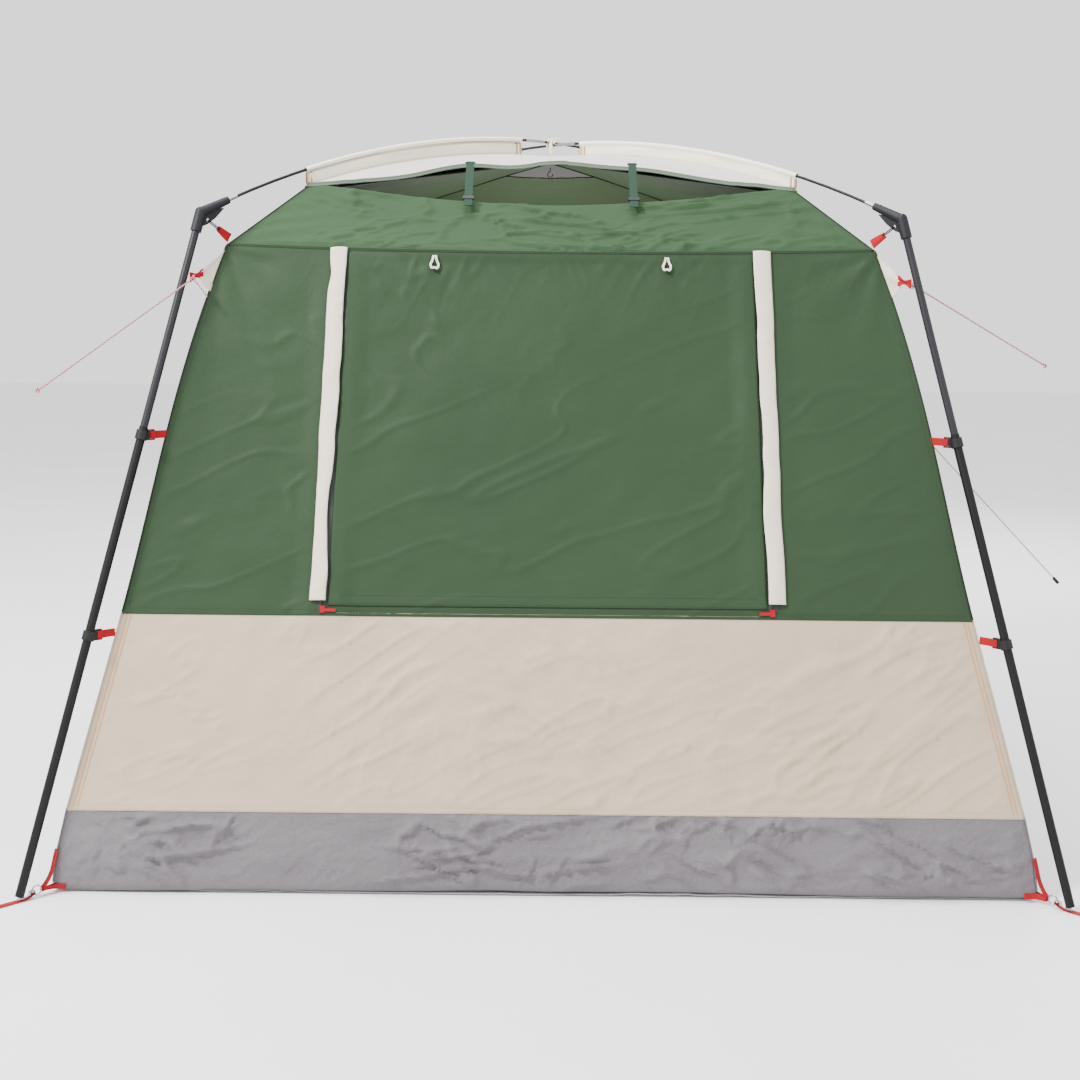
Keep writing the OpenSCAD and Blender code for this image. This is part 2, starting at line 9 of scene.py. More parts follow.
import bpy
import numpy as np
from mathutils import Euler, Matrix, Vector
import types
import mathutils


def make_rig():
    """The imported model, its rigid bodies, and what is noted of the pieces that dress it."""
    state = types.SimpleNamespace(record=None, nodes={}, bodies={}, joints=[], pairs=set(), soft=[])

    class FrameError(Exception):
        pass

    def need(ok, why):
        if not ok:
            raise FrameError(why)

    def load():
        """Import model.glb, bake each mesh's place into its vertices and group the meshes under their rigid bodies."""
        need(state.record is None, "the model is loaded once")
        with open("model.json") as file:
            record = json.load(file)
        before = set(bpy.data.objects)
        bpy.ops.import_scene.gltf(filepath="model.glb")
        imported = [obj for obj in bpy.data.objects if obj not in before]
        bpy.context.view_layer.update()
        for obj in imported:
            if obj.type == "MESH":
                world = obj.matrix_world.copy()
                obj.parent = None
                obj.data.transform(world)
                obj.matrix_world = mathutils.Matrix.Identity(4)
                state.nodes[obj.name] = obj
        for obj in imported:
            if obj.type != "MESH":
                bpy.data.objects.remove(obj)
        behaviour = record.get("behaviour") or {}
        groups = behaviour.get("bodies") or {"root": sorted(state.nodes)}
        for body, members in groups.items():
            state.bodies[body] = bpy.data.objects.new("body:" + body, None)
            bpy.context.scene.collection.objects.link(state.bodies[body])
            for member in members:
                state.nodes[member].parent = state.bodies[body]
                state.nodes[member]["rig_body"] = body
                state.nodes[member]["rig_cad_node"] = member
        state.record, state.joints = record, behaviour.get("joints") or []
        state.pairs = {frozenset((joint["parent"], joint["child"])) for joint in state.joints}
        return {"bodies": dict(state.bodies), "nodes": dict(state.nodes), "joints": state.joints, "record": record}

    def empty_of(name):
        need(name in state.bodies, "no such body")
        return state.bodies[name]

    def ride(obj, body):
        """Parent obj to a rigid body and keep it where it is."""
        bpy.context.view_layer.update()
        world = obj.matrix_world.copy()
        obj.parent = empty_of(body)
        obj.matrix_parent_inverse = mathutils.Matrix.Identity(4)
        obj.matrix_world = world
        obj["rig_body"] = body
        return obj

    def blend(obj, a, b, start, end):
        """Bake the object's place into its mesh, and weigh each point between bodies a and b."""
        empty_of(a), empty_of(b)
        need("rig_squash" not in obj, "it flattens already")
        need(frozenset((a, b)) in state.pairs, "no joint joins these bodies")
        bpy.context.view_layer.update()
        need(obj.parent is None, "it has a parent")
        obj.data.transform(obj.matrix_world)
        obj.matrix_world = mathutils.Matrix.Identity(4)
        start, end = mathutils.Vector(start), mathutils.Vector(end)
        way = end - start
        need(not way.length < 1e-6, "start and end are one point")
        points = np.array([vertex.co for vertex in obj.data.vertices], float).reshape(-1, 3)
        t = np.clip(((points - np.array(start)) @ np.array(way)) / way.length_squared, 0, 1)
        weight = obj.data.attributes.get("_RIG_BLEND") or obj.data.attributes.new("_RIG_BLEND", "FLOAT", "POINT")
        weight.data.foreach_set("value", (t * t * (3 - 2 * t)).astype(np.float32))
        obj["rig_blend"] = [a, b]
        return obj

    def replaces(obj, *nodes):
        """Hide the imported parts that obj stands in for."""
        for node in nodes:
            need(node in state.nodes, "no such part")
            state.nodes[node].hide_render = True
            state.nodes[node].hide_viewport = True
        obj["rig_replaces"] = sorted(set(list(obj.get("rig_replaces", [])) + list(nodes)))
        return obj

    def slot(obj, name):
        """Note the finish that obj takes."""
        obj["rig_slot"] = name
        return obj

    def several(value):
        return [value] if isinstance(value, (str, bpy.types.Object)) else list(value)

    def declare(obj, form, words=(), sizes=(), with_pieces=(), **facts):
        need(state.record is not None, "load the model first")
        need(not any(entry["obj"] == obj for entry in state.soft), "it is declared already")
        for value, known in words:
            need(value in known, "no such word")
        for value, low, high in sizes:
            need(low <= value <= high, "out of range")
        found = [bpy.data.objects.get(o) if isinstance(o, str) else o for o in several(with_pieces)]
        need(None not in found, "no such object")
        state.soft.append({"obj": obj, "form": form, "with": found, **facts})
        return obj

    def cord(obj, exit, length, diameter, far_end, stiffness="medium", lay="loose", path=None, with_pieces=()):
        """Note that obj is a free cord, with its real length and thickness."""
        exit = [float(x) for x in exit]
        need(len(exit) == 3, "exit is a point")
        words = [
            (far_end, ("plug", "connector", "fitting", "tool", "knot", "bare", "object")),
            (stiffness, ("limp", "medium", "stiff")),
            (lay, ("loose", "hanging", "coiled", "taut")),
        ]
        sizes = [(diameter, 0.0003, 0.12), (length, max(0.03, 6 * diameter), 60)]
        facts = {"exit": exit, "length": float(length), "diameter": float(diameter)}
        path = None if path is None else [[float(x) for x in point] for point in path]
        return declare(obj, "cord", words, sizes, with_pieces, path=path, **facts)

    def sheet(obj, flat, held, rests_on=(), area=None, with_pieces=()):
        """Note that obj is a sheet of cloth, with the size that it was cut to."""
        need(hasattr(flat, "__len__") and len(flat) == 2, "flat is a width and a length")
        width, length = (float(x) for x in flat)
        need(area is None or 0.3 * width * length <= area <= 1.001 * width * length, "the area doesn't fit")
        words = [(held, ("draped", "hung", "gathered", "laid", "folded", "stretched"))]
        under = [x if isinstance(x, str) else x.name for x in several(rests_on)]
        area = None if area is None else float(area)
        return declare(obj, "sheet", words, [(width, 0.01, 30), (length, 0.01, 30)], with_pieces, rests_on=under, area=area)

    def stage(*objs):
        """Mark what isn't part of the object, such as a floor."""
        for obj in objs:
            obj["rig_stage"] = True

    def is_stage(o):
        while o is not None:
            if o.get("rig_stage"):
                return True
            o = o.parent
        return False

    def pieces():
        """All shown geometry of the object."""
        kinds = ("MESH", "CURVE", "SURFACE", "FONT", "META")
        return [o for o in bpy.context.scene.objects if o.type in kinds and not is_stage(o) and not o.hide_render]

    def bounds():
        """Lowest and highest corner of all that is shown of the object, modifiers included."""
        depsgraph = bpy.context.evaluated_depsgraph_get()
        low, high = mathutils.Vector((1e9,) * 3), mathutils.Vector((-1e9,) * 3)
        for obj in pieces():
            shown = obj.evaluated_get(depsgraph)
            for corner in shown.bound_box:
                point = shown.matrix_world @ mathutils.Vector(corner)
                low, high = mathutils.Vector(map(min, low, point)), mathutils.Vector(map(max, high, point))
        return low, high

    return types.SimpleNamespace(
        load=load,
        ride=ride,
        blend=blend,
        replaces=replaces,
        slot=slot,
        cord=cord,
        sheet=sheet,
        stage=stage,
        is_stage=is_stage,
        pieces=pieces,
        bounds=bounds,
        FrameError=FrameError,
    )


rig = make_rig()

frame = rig.load()
nodes = frame["nodes"]
CAD_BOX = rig.bounds()

# ---- Sizes that the cloth shares with the frame ----

ROOT = "cabin"
ROOT2 = math.sqrt(2)
TURNS = {"front": 0, "right": 90, "back": 180, "left": 270}
CORNER_TURNS = {"fl": 225, "fr": 315, "bl": 135, "br": 45}
TUB_TOP, BAND_TOP, EAVES = 0.210, 0.695, 1.634
TUB_HALF, BAND_HALF, EAVES_HALF = 1.212, 1.091, 0.852
WINDOW_SILL, DOOR_SILL, PANEL_TOP = 0.716, 0.216, 1.616
WINDOW_HALF, DOOR_HALF, ZIP_TAPER = 0.577, 0.500, 0.035
RIDGE_TOP_HALF, RIDGE_TOP_Z = 0.655, 1.812
APEX_Z, LOWER_ROD_DROP, WEB_DROP = 2.000, 0.009, 0.036
ARC_CHORD, ARC_FOOT_Z = 1.200, 1.750
SLEEVE_FROM, SLEEVE_TO = 0.130, 0.948
NET_FOOT = 0.793
FLY_TIP = 0.010
FLOOR_HALF = 1.234
PANEL_GAP = 0.0125
COIL_PITCH = 0.0024
CLOTH_T = 0.0009


# ---- Camera, floor and light ----

def camera():
    cam = bpy.data.objects.new("camera", bpy.data.cameras.new("camera"))
    cam.data.sensor_width, cam.data.lens = 36, 51.67
    look_down, roll = math.radians(7.97), 0.0098
    aim = Euler((math.radians(90) - look_down, 0, 0)).to_matrix().to_4x4()
    cam.matrix_world = Matrix.Translation((-0.021, -5.0, 1.4385)) @ aim @ Matrix.Rotation(roll, 4, "Z")
    bpy.context.scene.collection.objects.link(cam)
    bpy.context.scene.camera = cam


def lamp(name, at, aim, size, power):
    light = bpy.data.lights.new(name, "AREA")
    light.shape, light.size, light.energy = "DISK", size, power
    holder = bpy.data.objects.new(name, light)
    bpy.context.scene.collection.objects.link(holder)
    holder.location = at
    holder.rotation_euler = (Vector(aim) - Vector(at)).to_track_quat("-Z", "Y").to_euler()


def studio():
    world = bpy.data.worlds.new("studio")
    world.use_nodes = True
    sky = world.node_tree.nodes["Background"]
    sky.inputs["Color"].default_value = (1.0, 1.0, 1.0, 1)
    sky.inputs["Strength"].default_value = 1.6
    bpy.context.scene.world = world
    lamp("key", (-4.2, -4.2, 5.6), (0, 0, 0.9), 1.3, 900)
    lamp("fill", (4.6, -4.2, 3.0), (0, 0, 1.0), 2.5, 50)
    lamp("top", (-0.6, -0.8, 6.0), (0, 0, 1.6), 3.0, 260)
    lamp("inside", (0, 0.1, 1.25), (0, 0.1, 3), 0.8, 15)
    lamp("rear", (2.5, 5.5, 4.8), (0, 0, 1.0), 2.5, 330)


# ---- Mesh helpers ----

def stack(*parts):
    """Points or pairs out of one array or number for each coordinate."""
    return np.stack(np.broadcast_arrays(*parts), axis=-1)


def spread(down, across):
    """Two grids of numbers: one is spread down the rows and one across the columns."""
    return np.meshgrid(np.linspace(*down), np.linspace(*across), indexing="ij")


def lengths_along(path):
    """How far along a path each of its points lies."""
    return np.concatenate([[0], np.cumsum(np.linalg.norm(np.diff(path, axis=0), axis=1))])


def material_of(obj, material):
    obj.data.materials.clear()
    obj.data.materials.append(material)


def mesh_piece(name, points, faces, material, body=ROOT, uv=None, slot=None, smooth=True):
    """A new mesh piece that rides on a body; uv is one pair for each point."""
    data = bpy.data.meshes.new(name)
    data.from_pydata([tuple(p) for p in points], [], [tuple(f) for f in faces])
    data.polygons.foreach_set("use_smooth", [smooth] * len(data.polygons))
    if uv is not None:
        layer = data.uv_layers.new(name="flat")
        loops = np.zeros(len(data.loops), np.int32)
        data.loops.foreach_get("vertex_index", loops)
        layer.data.foreach_set("uv", np.asarray(uv, np.float32)[loops].ravel())
    data.update()
    piece = bpy.data.objects.new(name, data)
    bpy.context.scene.collection.objects.link(piece)
    material_of(piece, material)
    if body:
        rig.ride(piece, body)
    if slot:
        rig.slot(piece, slot)
    return piece


def grid_faces(rows, cols, close=False):
    """Quads between rows of points; close joins each row's last point to its first."""
    wrap = cols if close else cols - 1
    return [(i * cols + j, i * cols + (j + 1) % cols, (i + 1) * cols + (j + 1) % cols, (i + 1) * cols + j)
            for i in range(rows - 1) for j in range(wrap)]


def grid_piece(name, grid, uv, material, body=ROOT, slot=None, thickness=CLOTH_T):
    """A sheet of cloth from a grid of points, with its thickness inwards."""
    rows, cols = grid.shape[:2]
    piece = mesh_piece(name, grid.reshape(-1, 3), grid_faces(rows, cols), material, body,
                       uv.reshape(-1, 2), slot)
    if thickness:
        solid = piece.modifiers.new("thickness", "SOLIDIFY")
        solid.thickness, solid.offset = thickness, -1
    return piece


def smooth_path(points, steps):
    """A Catmull-Rom curve through the points, with steps spans between each two."""
    p = [np.array(q, float) for q in points]
    p = [2 * p[0] - p[1]] + p + [2 * p[-1] - p[-2]]
    out = []
    for i in range(1, len(p) - 2):
        for k in range(steps):
            t = k / steps
            out.append(0.5 * (2 * p[i] + (p[i + 1] - p[i - 1]) * t
                              + (2 * p[i - 1] - 5 * p[i] + 4 * p[i + 1] - p[i + 2]) * t * t
                              + (3 * p[i] - p[i - 1] - 3 * p[i + 1] + p[i + 2]) * t ** 3))
    return np.array(out + [p[-2]])


def unit(v):
    v = np.asarray(v, float)
    return v / max(np.linalg.norm(v), 1e-12)


def directions(path):
    way = np.gradient(path, axis=0)
    return way / np.linalg.norm(way, axis=1)[:, None]


def sweep(path, section, across):
    """Rings of section (pairs across, over) along a path; across is one vector, or one for each point."""
    ways = directions(path)
    across = np.broadcast_to(np.asarray(across, float), path.shape)
    over = np.cross(across, ways)
    over /= np.linalg.norm(over, axis=1)[:, None]
    side = np.cross(ways, over)
    section = np.asarray(section, float)
    wide, high = section[None, :, 0:1], section[None, :, 1:2]
    return path[:, None, :] + wide * side[:, None, :] + high * over[:, None, :]


def swept_piece(name, path, section, across, material, body=ROOT, slot=None):
    rings = sweep(path, section, across)
    rows, cols = rings.shape[:2]
    faces = grid_faces(rows, cols, close=True)
    faces += [tuple(range(cols - 1, -1, -1)), tuple((rows - 1) * cols + k for k in range(cols))]
    along = lengths_along(path)
    round_it = np.linspace(0, 1, cols, endpoint=False)
    uv = stack(round_it[None, :], along[:, None])
    return mesh_piece(name, rings.reshape(-1, 3), faces, material, body, uv.reshape(-1, 2), slot)


def round_section(radius, sides=10):
    angles = [k * math.tau / sides for k in range(sides)]
    return [(radius * math.cos(a), radius * math.sin(a)) for a in angles]


def flat_section(width, thick):
    """A band's section with rounded edges and a low rib near each edge."""
    w, t = width / 2, thick / 2
    rib, inner, rib_high = w * 0.82, w * 0.7, t * 1.25
    top = [(-w, 0), (-w + t, t), (-rib, rib_high), (-inner, t), (inner, t), (rib, rib_high), (w - t, t),
           (w, 0)]
    return top + [(x, -y) for x, y in top[-2:0:-1]]


def any_across(path):
    """A direction across the path's overall run, for round sections."""
    way = unit(path[-1] - path[0]) if np.linalg.norm(path[-1] - path[0]) > 1e-6 else np.array([1.0, 0, 0])
    return unit(np.cross(way, [0, 0, 1] if abs(way[2]) < 0.95 else [1, 0, 0]))


def tube_piece(name, path, radius, material, body=ROOT, slot=None, sides=10, across=None):
    across = any_across(path) if across is None else across
    return swept_piece(name, path, round_section(radius, sides), across, material, body, slot)


def join(name, pieces, body=ROOT, slot=None):
    """One mesh piece out of several, under one name."""
    with bpy.context.temp_override(active_object=pieces[0], selected_editable_objects=pieces,
                                   selected_objects=pieces, object=pieces[0]):
        bpy.ops.object.join()
    whole = pieces[0]
    whole.name = whole.data.name = name
    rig.ride(whole, body)
    if slot:
        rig.slot(whole, slot)
    return whole


def turned(points, degrees):
    c, s = math.cos(math.radians(degrees)), math.sin(math.radians(degrees))
    points = np.asarray(points, float)
    out = points.copy()
    out[..., 0] = points[..., 0] * c - points[..., 1] * s
    out[..., 1] = points[..., 0] * s + points[..., 1] * c
    return out


# ---- Noise and creases for the cloth ----

def lattice(ix, iy, seed):
    n = (ix.astype(np.int64) * 374761393 + iy.astype(np.int64) * 668265263 + seed * 974634777) & 0xFFFFFFFF
    n = ((n ^ (n >> 13)) * 1274126177) & 0xFFFFFFFF
    return ((n ^ (n >> 16)) & 0xFFFF) / 32767.5 - 1


def noise(x, y, seed):
    """Smooth noise from -1 to 1 with one bump for each unit."""
    fx, fy = np.floor(x), np.floor(y)
    u, v = x - fx, y - fy
    u, v = u ** 3 * (u * (6 * u - 15) + 10), v ** 3 * (v * (6 * v - 15) + 10)
    a, b = lattice(fx, fy, seed), lattice(fx + 1, fy, seed)
    c, d = lattice(fx, fy + 1, seed), lattice(fx + 1, fy + 1, seed)
    return (a * (1 - u) + b * u) * (1 - v) + (c * (1 - u) + d * u) * v


def step(low, high, x):
    t = np.clip((x - low) / (high - low), 0, 1)
    return t * t * (3 - 2 * t)


def creases(x, y, degrees, across, along, width, seed, patch=0.4):
    """Fine ridges that run at an angle, in patches, where stretched noise crosses zero."""
    c, s = math.cos(math.radians(degrees)), math.sin(math.radians(degrees))
    u, v = (x * c + y * s) / along, (y * c - x * s) / across
    line = noise(u, v, seed) + 0.45 * noise(2.3 * u, 2.3 * v, seed + 5)
    shown = step(-0.15, 0.45, noise(x / patch, y / patch, seed + 11))
    return np.exp(-(line / width) ** 2) * shown


# ---- The cabin's surface ----

def creased(x, z, seed, sets):
    """Several sets of creases: height, angle, spacing, length, sharpness and size of the patches."""
    return sum(height * creases(x, z, angle, across, along, width, seed + k, patch)
               for k, (height, angle, across, along, width, patch) in enumerate(sets))


def half_width(z):
    """Half width of the cabin at a height, along its corner seams."""
    z = np.asarray(z, float)
    tub = np.interp(z, [0.0, 0.012, 0.03, 0.10, TUB_TOP], [1.222, 1.240, 1.243, 1.235, TUB_HALF])
    band = TUB_HALF + (BAND_HALF - TUB_HALF) * (z - TUB_TOP) / (BAND_TOP - TUB_TOP)
    k = np.clip((z - BAND_TOP) / (EAVES - BAND_TOP), 0, 1)
    green = BAND_HALF + (EAVES_HALF - BAND_HALF) * k + corner_bulge(z)
    return np.where(z < TUB_TOP, tub, np.where(z < BAND_TOP, band, green))


def corner_bulge(z):
    """How far the green walls' corner seams bow out; the walls' middles stay flat."""
    k = np.clip((np.asarray(z, float) - BAND_TOP) / (EAVES - BAND_TOP), 0, 1)
    return 0.017 * np.sin(np.pi * k ** 1.5)


def eaves_z(q):
    return EAVES - 0.013 * (1 - q * q)


def band_window(z, low, high, soft=0.03):
    return step(0, soft, np.minimum(z - low, high - z))


TUB_CREASES = [
    (0.0150, 8, 0.040, 0.22, 0.22, 0.30),
    (0.0130, -28, 0.045, 0.15, 0.20, 0.25),
    (0.0120, 48, 0.050, 0.12, 0.18, 0.30),
]
CREAM_CREASES = [
    (0.0062, 33, 0.055, 0.34, 0.16, 0.45),
    (0.0050, 20, 0.040, 0.20, 0.15, 0.35),
    (0.0046, -38, 0.060, 0.22, 0.15, 0.40),
    (0.0022, 76, 0.060, 0.16, 0.14, 0.40),
]
GREEN_CREASES = [
    (0.0026, 24, 0.09, 0.34, 0.13, 0.5),
    (0.0022, -42, 0.08, 0.26, 0.13, 0.5),
]
SLOPE_CREASES = [
    (0.0115, 3, 0.030, 0.30, 0.22, 0.30),
    (0.0092, -9, 0.035, 0.22, 0.20, 0.30),
    (0.0060, 22, 0.040, 0.16, 0.20, 0.25),
]
FLY_CREASES = [
    (0.0022, 12, 0.04, 0.25, 0.22, 0.3),
    (0.0016, -30, 0.05, 0.20, 0.20, 0.3),
]


def relief(side, x, z):
    """How far the cloth stands out from its smooth surface."""
    seed = 100 * list(TURNS).index(side) + 3
    a = half_width(z)
    q = x / a
    out = -0.006 * (1 - q * q) + 0.0045 * noise(x / 0.45, z / 0.33, seed)
    out += 0.0016 * noise(x / 0.17, z / 0.12, seed + 1)
    tub = band_window(z, -0.02, TUB_TOP, 0.02) * step(0.0, 0.07, z)
    out += tub * (0.0070 * noise(x / 0.14, z / 0.045, seed + 20) + creased(x, z, seed + 21, TUB_CREASES)
                  + 0.006 * np.exp(-z / 0.05) * creases(x, z, 0, 0.03, 0.5, 0.35, seed + 24, 0.5))
    cream = band_window(z, TUB_TOP, BAND_TOP)
    out += cream * (creased(x, z, seed + 30, CREAM_CREASES) + 0.0026 * noise(x / 0.06, z / 0.05, seed + 34))
    green = band_window(z, BAND_TOP, EAVES - 0.01, 0.015)
    below = np.clip(EAVES - z, 0, 1)
    pulled = 0.0075 * np.exp(-below / 0.05) * creases(x, z, 118, 0.050, 0.11, 0.30, seed + 43, 0.22)
    pulled += 0.0055 * np.exp(-below / 0.10) * creases(x, z, 62, 0.055, 0.16, 0.25, seed + 44, 0.3)
    out += green * (creased(x, z, seed + 40, GREEN_CREASES) + 0.0012 * noise(x / 0.07, z / 0.06, seed + 42)
                    + pulled)
    corner = np.exp(-((a - np.abs(x)) / 0.16) ** 2) * np.exp(-below / 0.22)
    out += 0.0055 * corner * np.sin(np.arctan2(below, a - np.abs(x) + 0.02) * 13)
    out = out * (1 - np.abs(np.clip(q, -1, 1)) ** 14) * step(0, 0.03, eaves_z(q) - z)
    return out * clear_of_zips(side, x, z)


def clear_of_zips(side, x, z):
    """Nought along the zips, where the cloth is pulled flat and the sliders run; one elsewhere."""
    if side not in ("front", "back"):
        return 1.0
    zip_at, foot = (window_zip, BAND_TOP) if side == "front" else (door_zip, TUB_TOP)
    near = 1 - step(0.034, 0.090, np.abs(np.abs(x) - zip_at(z)))
    return 1 - near * step(foot - 0.06, foot - 0.01, z)


def window_zip(z):
    return WINDOW_HALF - (z - WINDOW_SILL) * ZIP_TAPER


def door_zip(z):
    return DOOR_HALF - (z - DOOR_SILL) * ZIP_TAPER


def wall_lean(z, reach=0.004):
    """How fast a wall leans out with height."""
    return (half_width(z + reach) - half_width(z - reach)) / (2 * reach)


def wall(side, x, z, lift=0.0):
    """Points on a side of the cabin at lateral places x and heights z."""
    x, z = np.broadcast_arrays(np.asarray(x, float), np.asarray(z, float))
    a = half_width(z)
    slope = wall_lean(z)
    size = np.sqrt(1 + slope ** 2)
    out = relief(side, x, z) + lift
    flat = a - corner_bulge(z) * (1 - np.clip(np.abs(x) / a, 0, 1) ** 10)
    points = stack(x, -flat - out / size, np.maximum(z - slope * out / size, 0.002))
    return turned(points, TURNS[side])


def wall_piece(name, side, low, high, left, right, material, body=ROOT, slot=None, lift=0.0, pitch=0.007,
               thickness=CLOTH_T, edge_lift=None):
    """Cloth on a side between two heights and two edges; each may be a function, and edges take z."""
    fine = pitch if side == "front" else pitch * 1.5
    get = lambda limit, v: limit(v) if callable(limit) else limit
    mid_low, mid_high = get(low, 0.0), get(high, 0.0)
    rows = max(3, int((mid_high - mid_low) / fine) + 1)
    widest = max(get(right, mid_low) - get(left, mid_low), get(right, mid_high) - get(left, mid_high))
    cols = max(3, int(widest / fine) + 1)
    t, s = spread((0, 1, rows), (0, 1, cols))
    base_z = mid_low + (mid_high - mid_low) * t
    x = get(left, base_z) + (get(right, base_z) - get(left, base_z)) * s
    q = np.clip(x / half_width(base_z), -1, 1)
    z = get(low, q) + (get(high, q) - get(low, q)) * t
    raised = lift if edge_lift is None else lift + edge_lift(t)
    grid = wall(side, x, z, raised)
    return grid_piece(name, grid, stack(x, z), material, body, slot, thickness)


def slope_edge(side, q):
    """Top edge of a roof slope: half width and height. The front one sags under the vent."""
    k = np.abs(q) ** 1.6
    if side == "front":
        return 0.700 - (0.700 - RIDGE_TOP_HALF) * k, 1.755 + (RIDGE_TOP_Z - 1.755) * k
    return RIDGE_TOP_HALF + 0 * q, RIDGE_TOP_Z - 0.006 * (1 - k)


def slope_points(side, q, t, lift=0.0):
    seed = 100 * list(TURNS).index(side) + 60
    a1, z1 = slope_edge(side, q)
    z0 = eaves_z(q)
    a0 = half_width(z0)
    a, z = a0 + (a1 - a0) * t, z0 + (z1 - z0) * t
    x, up = q * a, t * 0.25
    out = 0.012 * np.sin(np.pi * t) * (1 - q * q) * (-0.4) + 0.004 * noise(x / 0.35, up / 0.12, seed)
    out += creased(x, up, seed + 1, SLOPE_CREASES)
    near = np.exp(-((1 - np.abs(q)) / 0.17) ** 2) * np.exp(-(t / 0.75) ** 2)
    fold = np.sin((t - 0.9 * (1 - np.abs(q))) * 26 + 2.5 * np.sign(q))
    out += near * (0.0065 * fold + 0.002 * noise(x / 0.03, up / 0.012, seed + 4))
    out *= (1 - np.abs(q) ** 10) * step(-0.01, 0.08, t) * step(0, 0.06, 1 - t + 0.02)
    n = unit([0, -(z1 - z0).mean(), (a0 - a1).mean()])
    points = stack(x, -a + n[1] * (out + lift), z + n[2] * (out + lift))
    return turned(points, TURNS[side])


def arc_radius(top):
    """Radius of a roof rod's bend."""
    rise = top - ARC_FOOT_Z
    return (rise ** 2 + ARC_CHORD ** 2) / (2 * rise)


def arc_height(r, top=APEX_Z):
    """Height of a roof rod's axis at a distance from the crossing."""
    radius = arc_radius(top)
    return top - radius + np.sqrt(radius ** 2 - r ** 2)


def ridge_z(a):
    """Height of the fly's ridges, where the sleeves' webs end."""
    return arc_height(a * ROOT2, APEX_Z - LOWER_ROD_DROP) - WEB_DROP


def fly_edge(side, q):
    """Outer edge of the fly: half width, and lift above the ridges' height. Two props push the front up."""
    k = np.abs(q) ** 2.2
    if side == "front":
        lift = 0.023 * np.exp(-((np.abs(q) - 0.40) / 0.20) ** 2) + 0.027 * np.exp(-(q / 0.24) ** 2)
        wave = 0.004 * np.sin(q * 11 + 0.6) * (1 - q * q)
        return 0.556 + 0.112 * k, lift + wave
    return 0.672 + 0 * q, -0.004 - 0.007 * (1 - k) + 0.002 * np.sin(q * 17) * (1 - q * q)


def fly_points(side, q, t, drop=0.0):
    seed = 100 * list(TURNS).index(side) + 80
    a_edge, lift = fly_edge(side, q)
    a = a_edge + (FLY_TIP - a_edge) * t
    z = ridge_z(a) + lift * (1 - t) ** 2.2 - 0.010 * (1 - q * q) * np.sin(np.pi * t) - drop
    x = q * a
    soft = (1 - np.abs(q) ** 8)
    z = z + soft * (0.0022 * noise(x / 0.12, a / 0.09, seed) + creased(x, a, seed + 1, FLY_CREASES))
    return turned(stack(x, -a, z), TURNS[side])


# ---- Materials ----

class Nodes:
    """A node material, built link by link."""

    def __init__(self, name):
        self.material = bpy.data.materials.new(name)
        self.material.use_nodes = True
        self.tree = self.material.node_tree
        self.shader = self.tree.nodes["Principled BSDF"]

    def add(self, kind, **settings):
        node = self.tree.nodes.new(kind)
        for key, value in settings.items():
            if key in node.inputs:
                node.inputs[key].default_value = value
            else:
                setattr(node, key, value)
        return node

    def link(self, out, into):
        self.tree.links.new(out, into)

    def where(self, uv=False):
        return self.add("ShaderNodeTexCoord").outputs["UV" if uv else "Object"]

    def scaled(self, source, scale):
        node = self.add("ShaderNodeMapping")
        node.inputs["Scale"].default_value = scale
        self.link(source, node.inputs["Vector"])
        return node.outputs["Vector"]

    def noise(self, source, scale, detail=3.0, rough=0.55):
        node = self.add("ShaderNodeTexNoise", Scale=scale, Detail=detail, Roughness=rough)
        self.link(source, node.inputs["Vector"])
        return node.outputs["Fac"]

    def wave(self, source, scale, direction="X", distortion=0.0):
        node = self.add("ShaderNodeTexWave", Scale=scale, Distortion=distortion, bands_direction=direction)
        self.link(source, node.inputs["Vector"])
        return node.outputs["Fac"]

    def maths(self, operation, a, b):
        node = self.add("ShaderNodeMath", operation=operation)
        for k, value in enumerate((a, b)):
            if isinstance(value, (int, float)):
                node.inputs[k].default_value = value
            else:
                self.link(value, node.inputs[k])
        return node.outputs[0]

    def ramp(self, source, stops):
        node = self.add("ShaderNodeValToRGB")
        while len(node.color_ramp.elements) < len(stops):
            node.color_ramp.elements.new(0.5)
        for element, (place, colour) in zip(node.color_ramp.elements, stops):
            element.position, element.color = place, (*colour, 1)
        self.link(source, node.inputs["Fac"])
        return node.outputs["Color"]

    def colour(self, source):
        self.link(source, self.shader.inputs["Base Color"])

    def roughness(self, source, low, high):
        node = self.add("ShaderNodeMapRange")
        node.inputs["To Min"].default_value, node.inputs["To Max"].default_value = low, high
        self.link(source, node.inputs["Value"])
        self.link(node.outputs["Result"], self.shader.inputs["Roughness"])

    def bump(self, source, height, strength=0.5, under=None):
        node = self.add("ShaderNodeBump", Strength=strength, Distance=height)
        self.link(source, node.inputs["Height"])
        if under is not None:
            self.link(under, node.inputs["Normal"])
        return node.outputs["Normal"]

    def set(self, **values):
        for key, value in values.items():
            self.shader.inputs[key.replace("_", " ")].default_value = value


def tint(colour, factor):
    return tuple(min(1.0, c * factor) for c in colour)


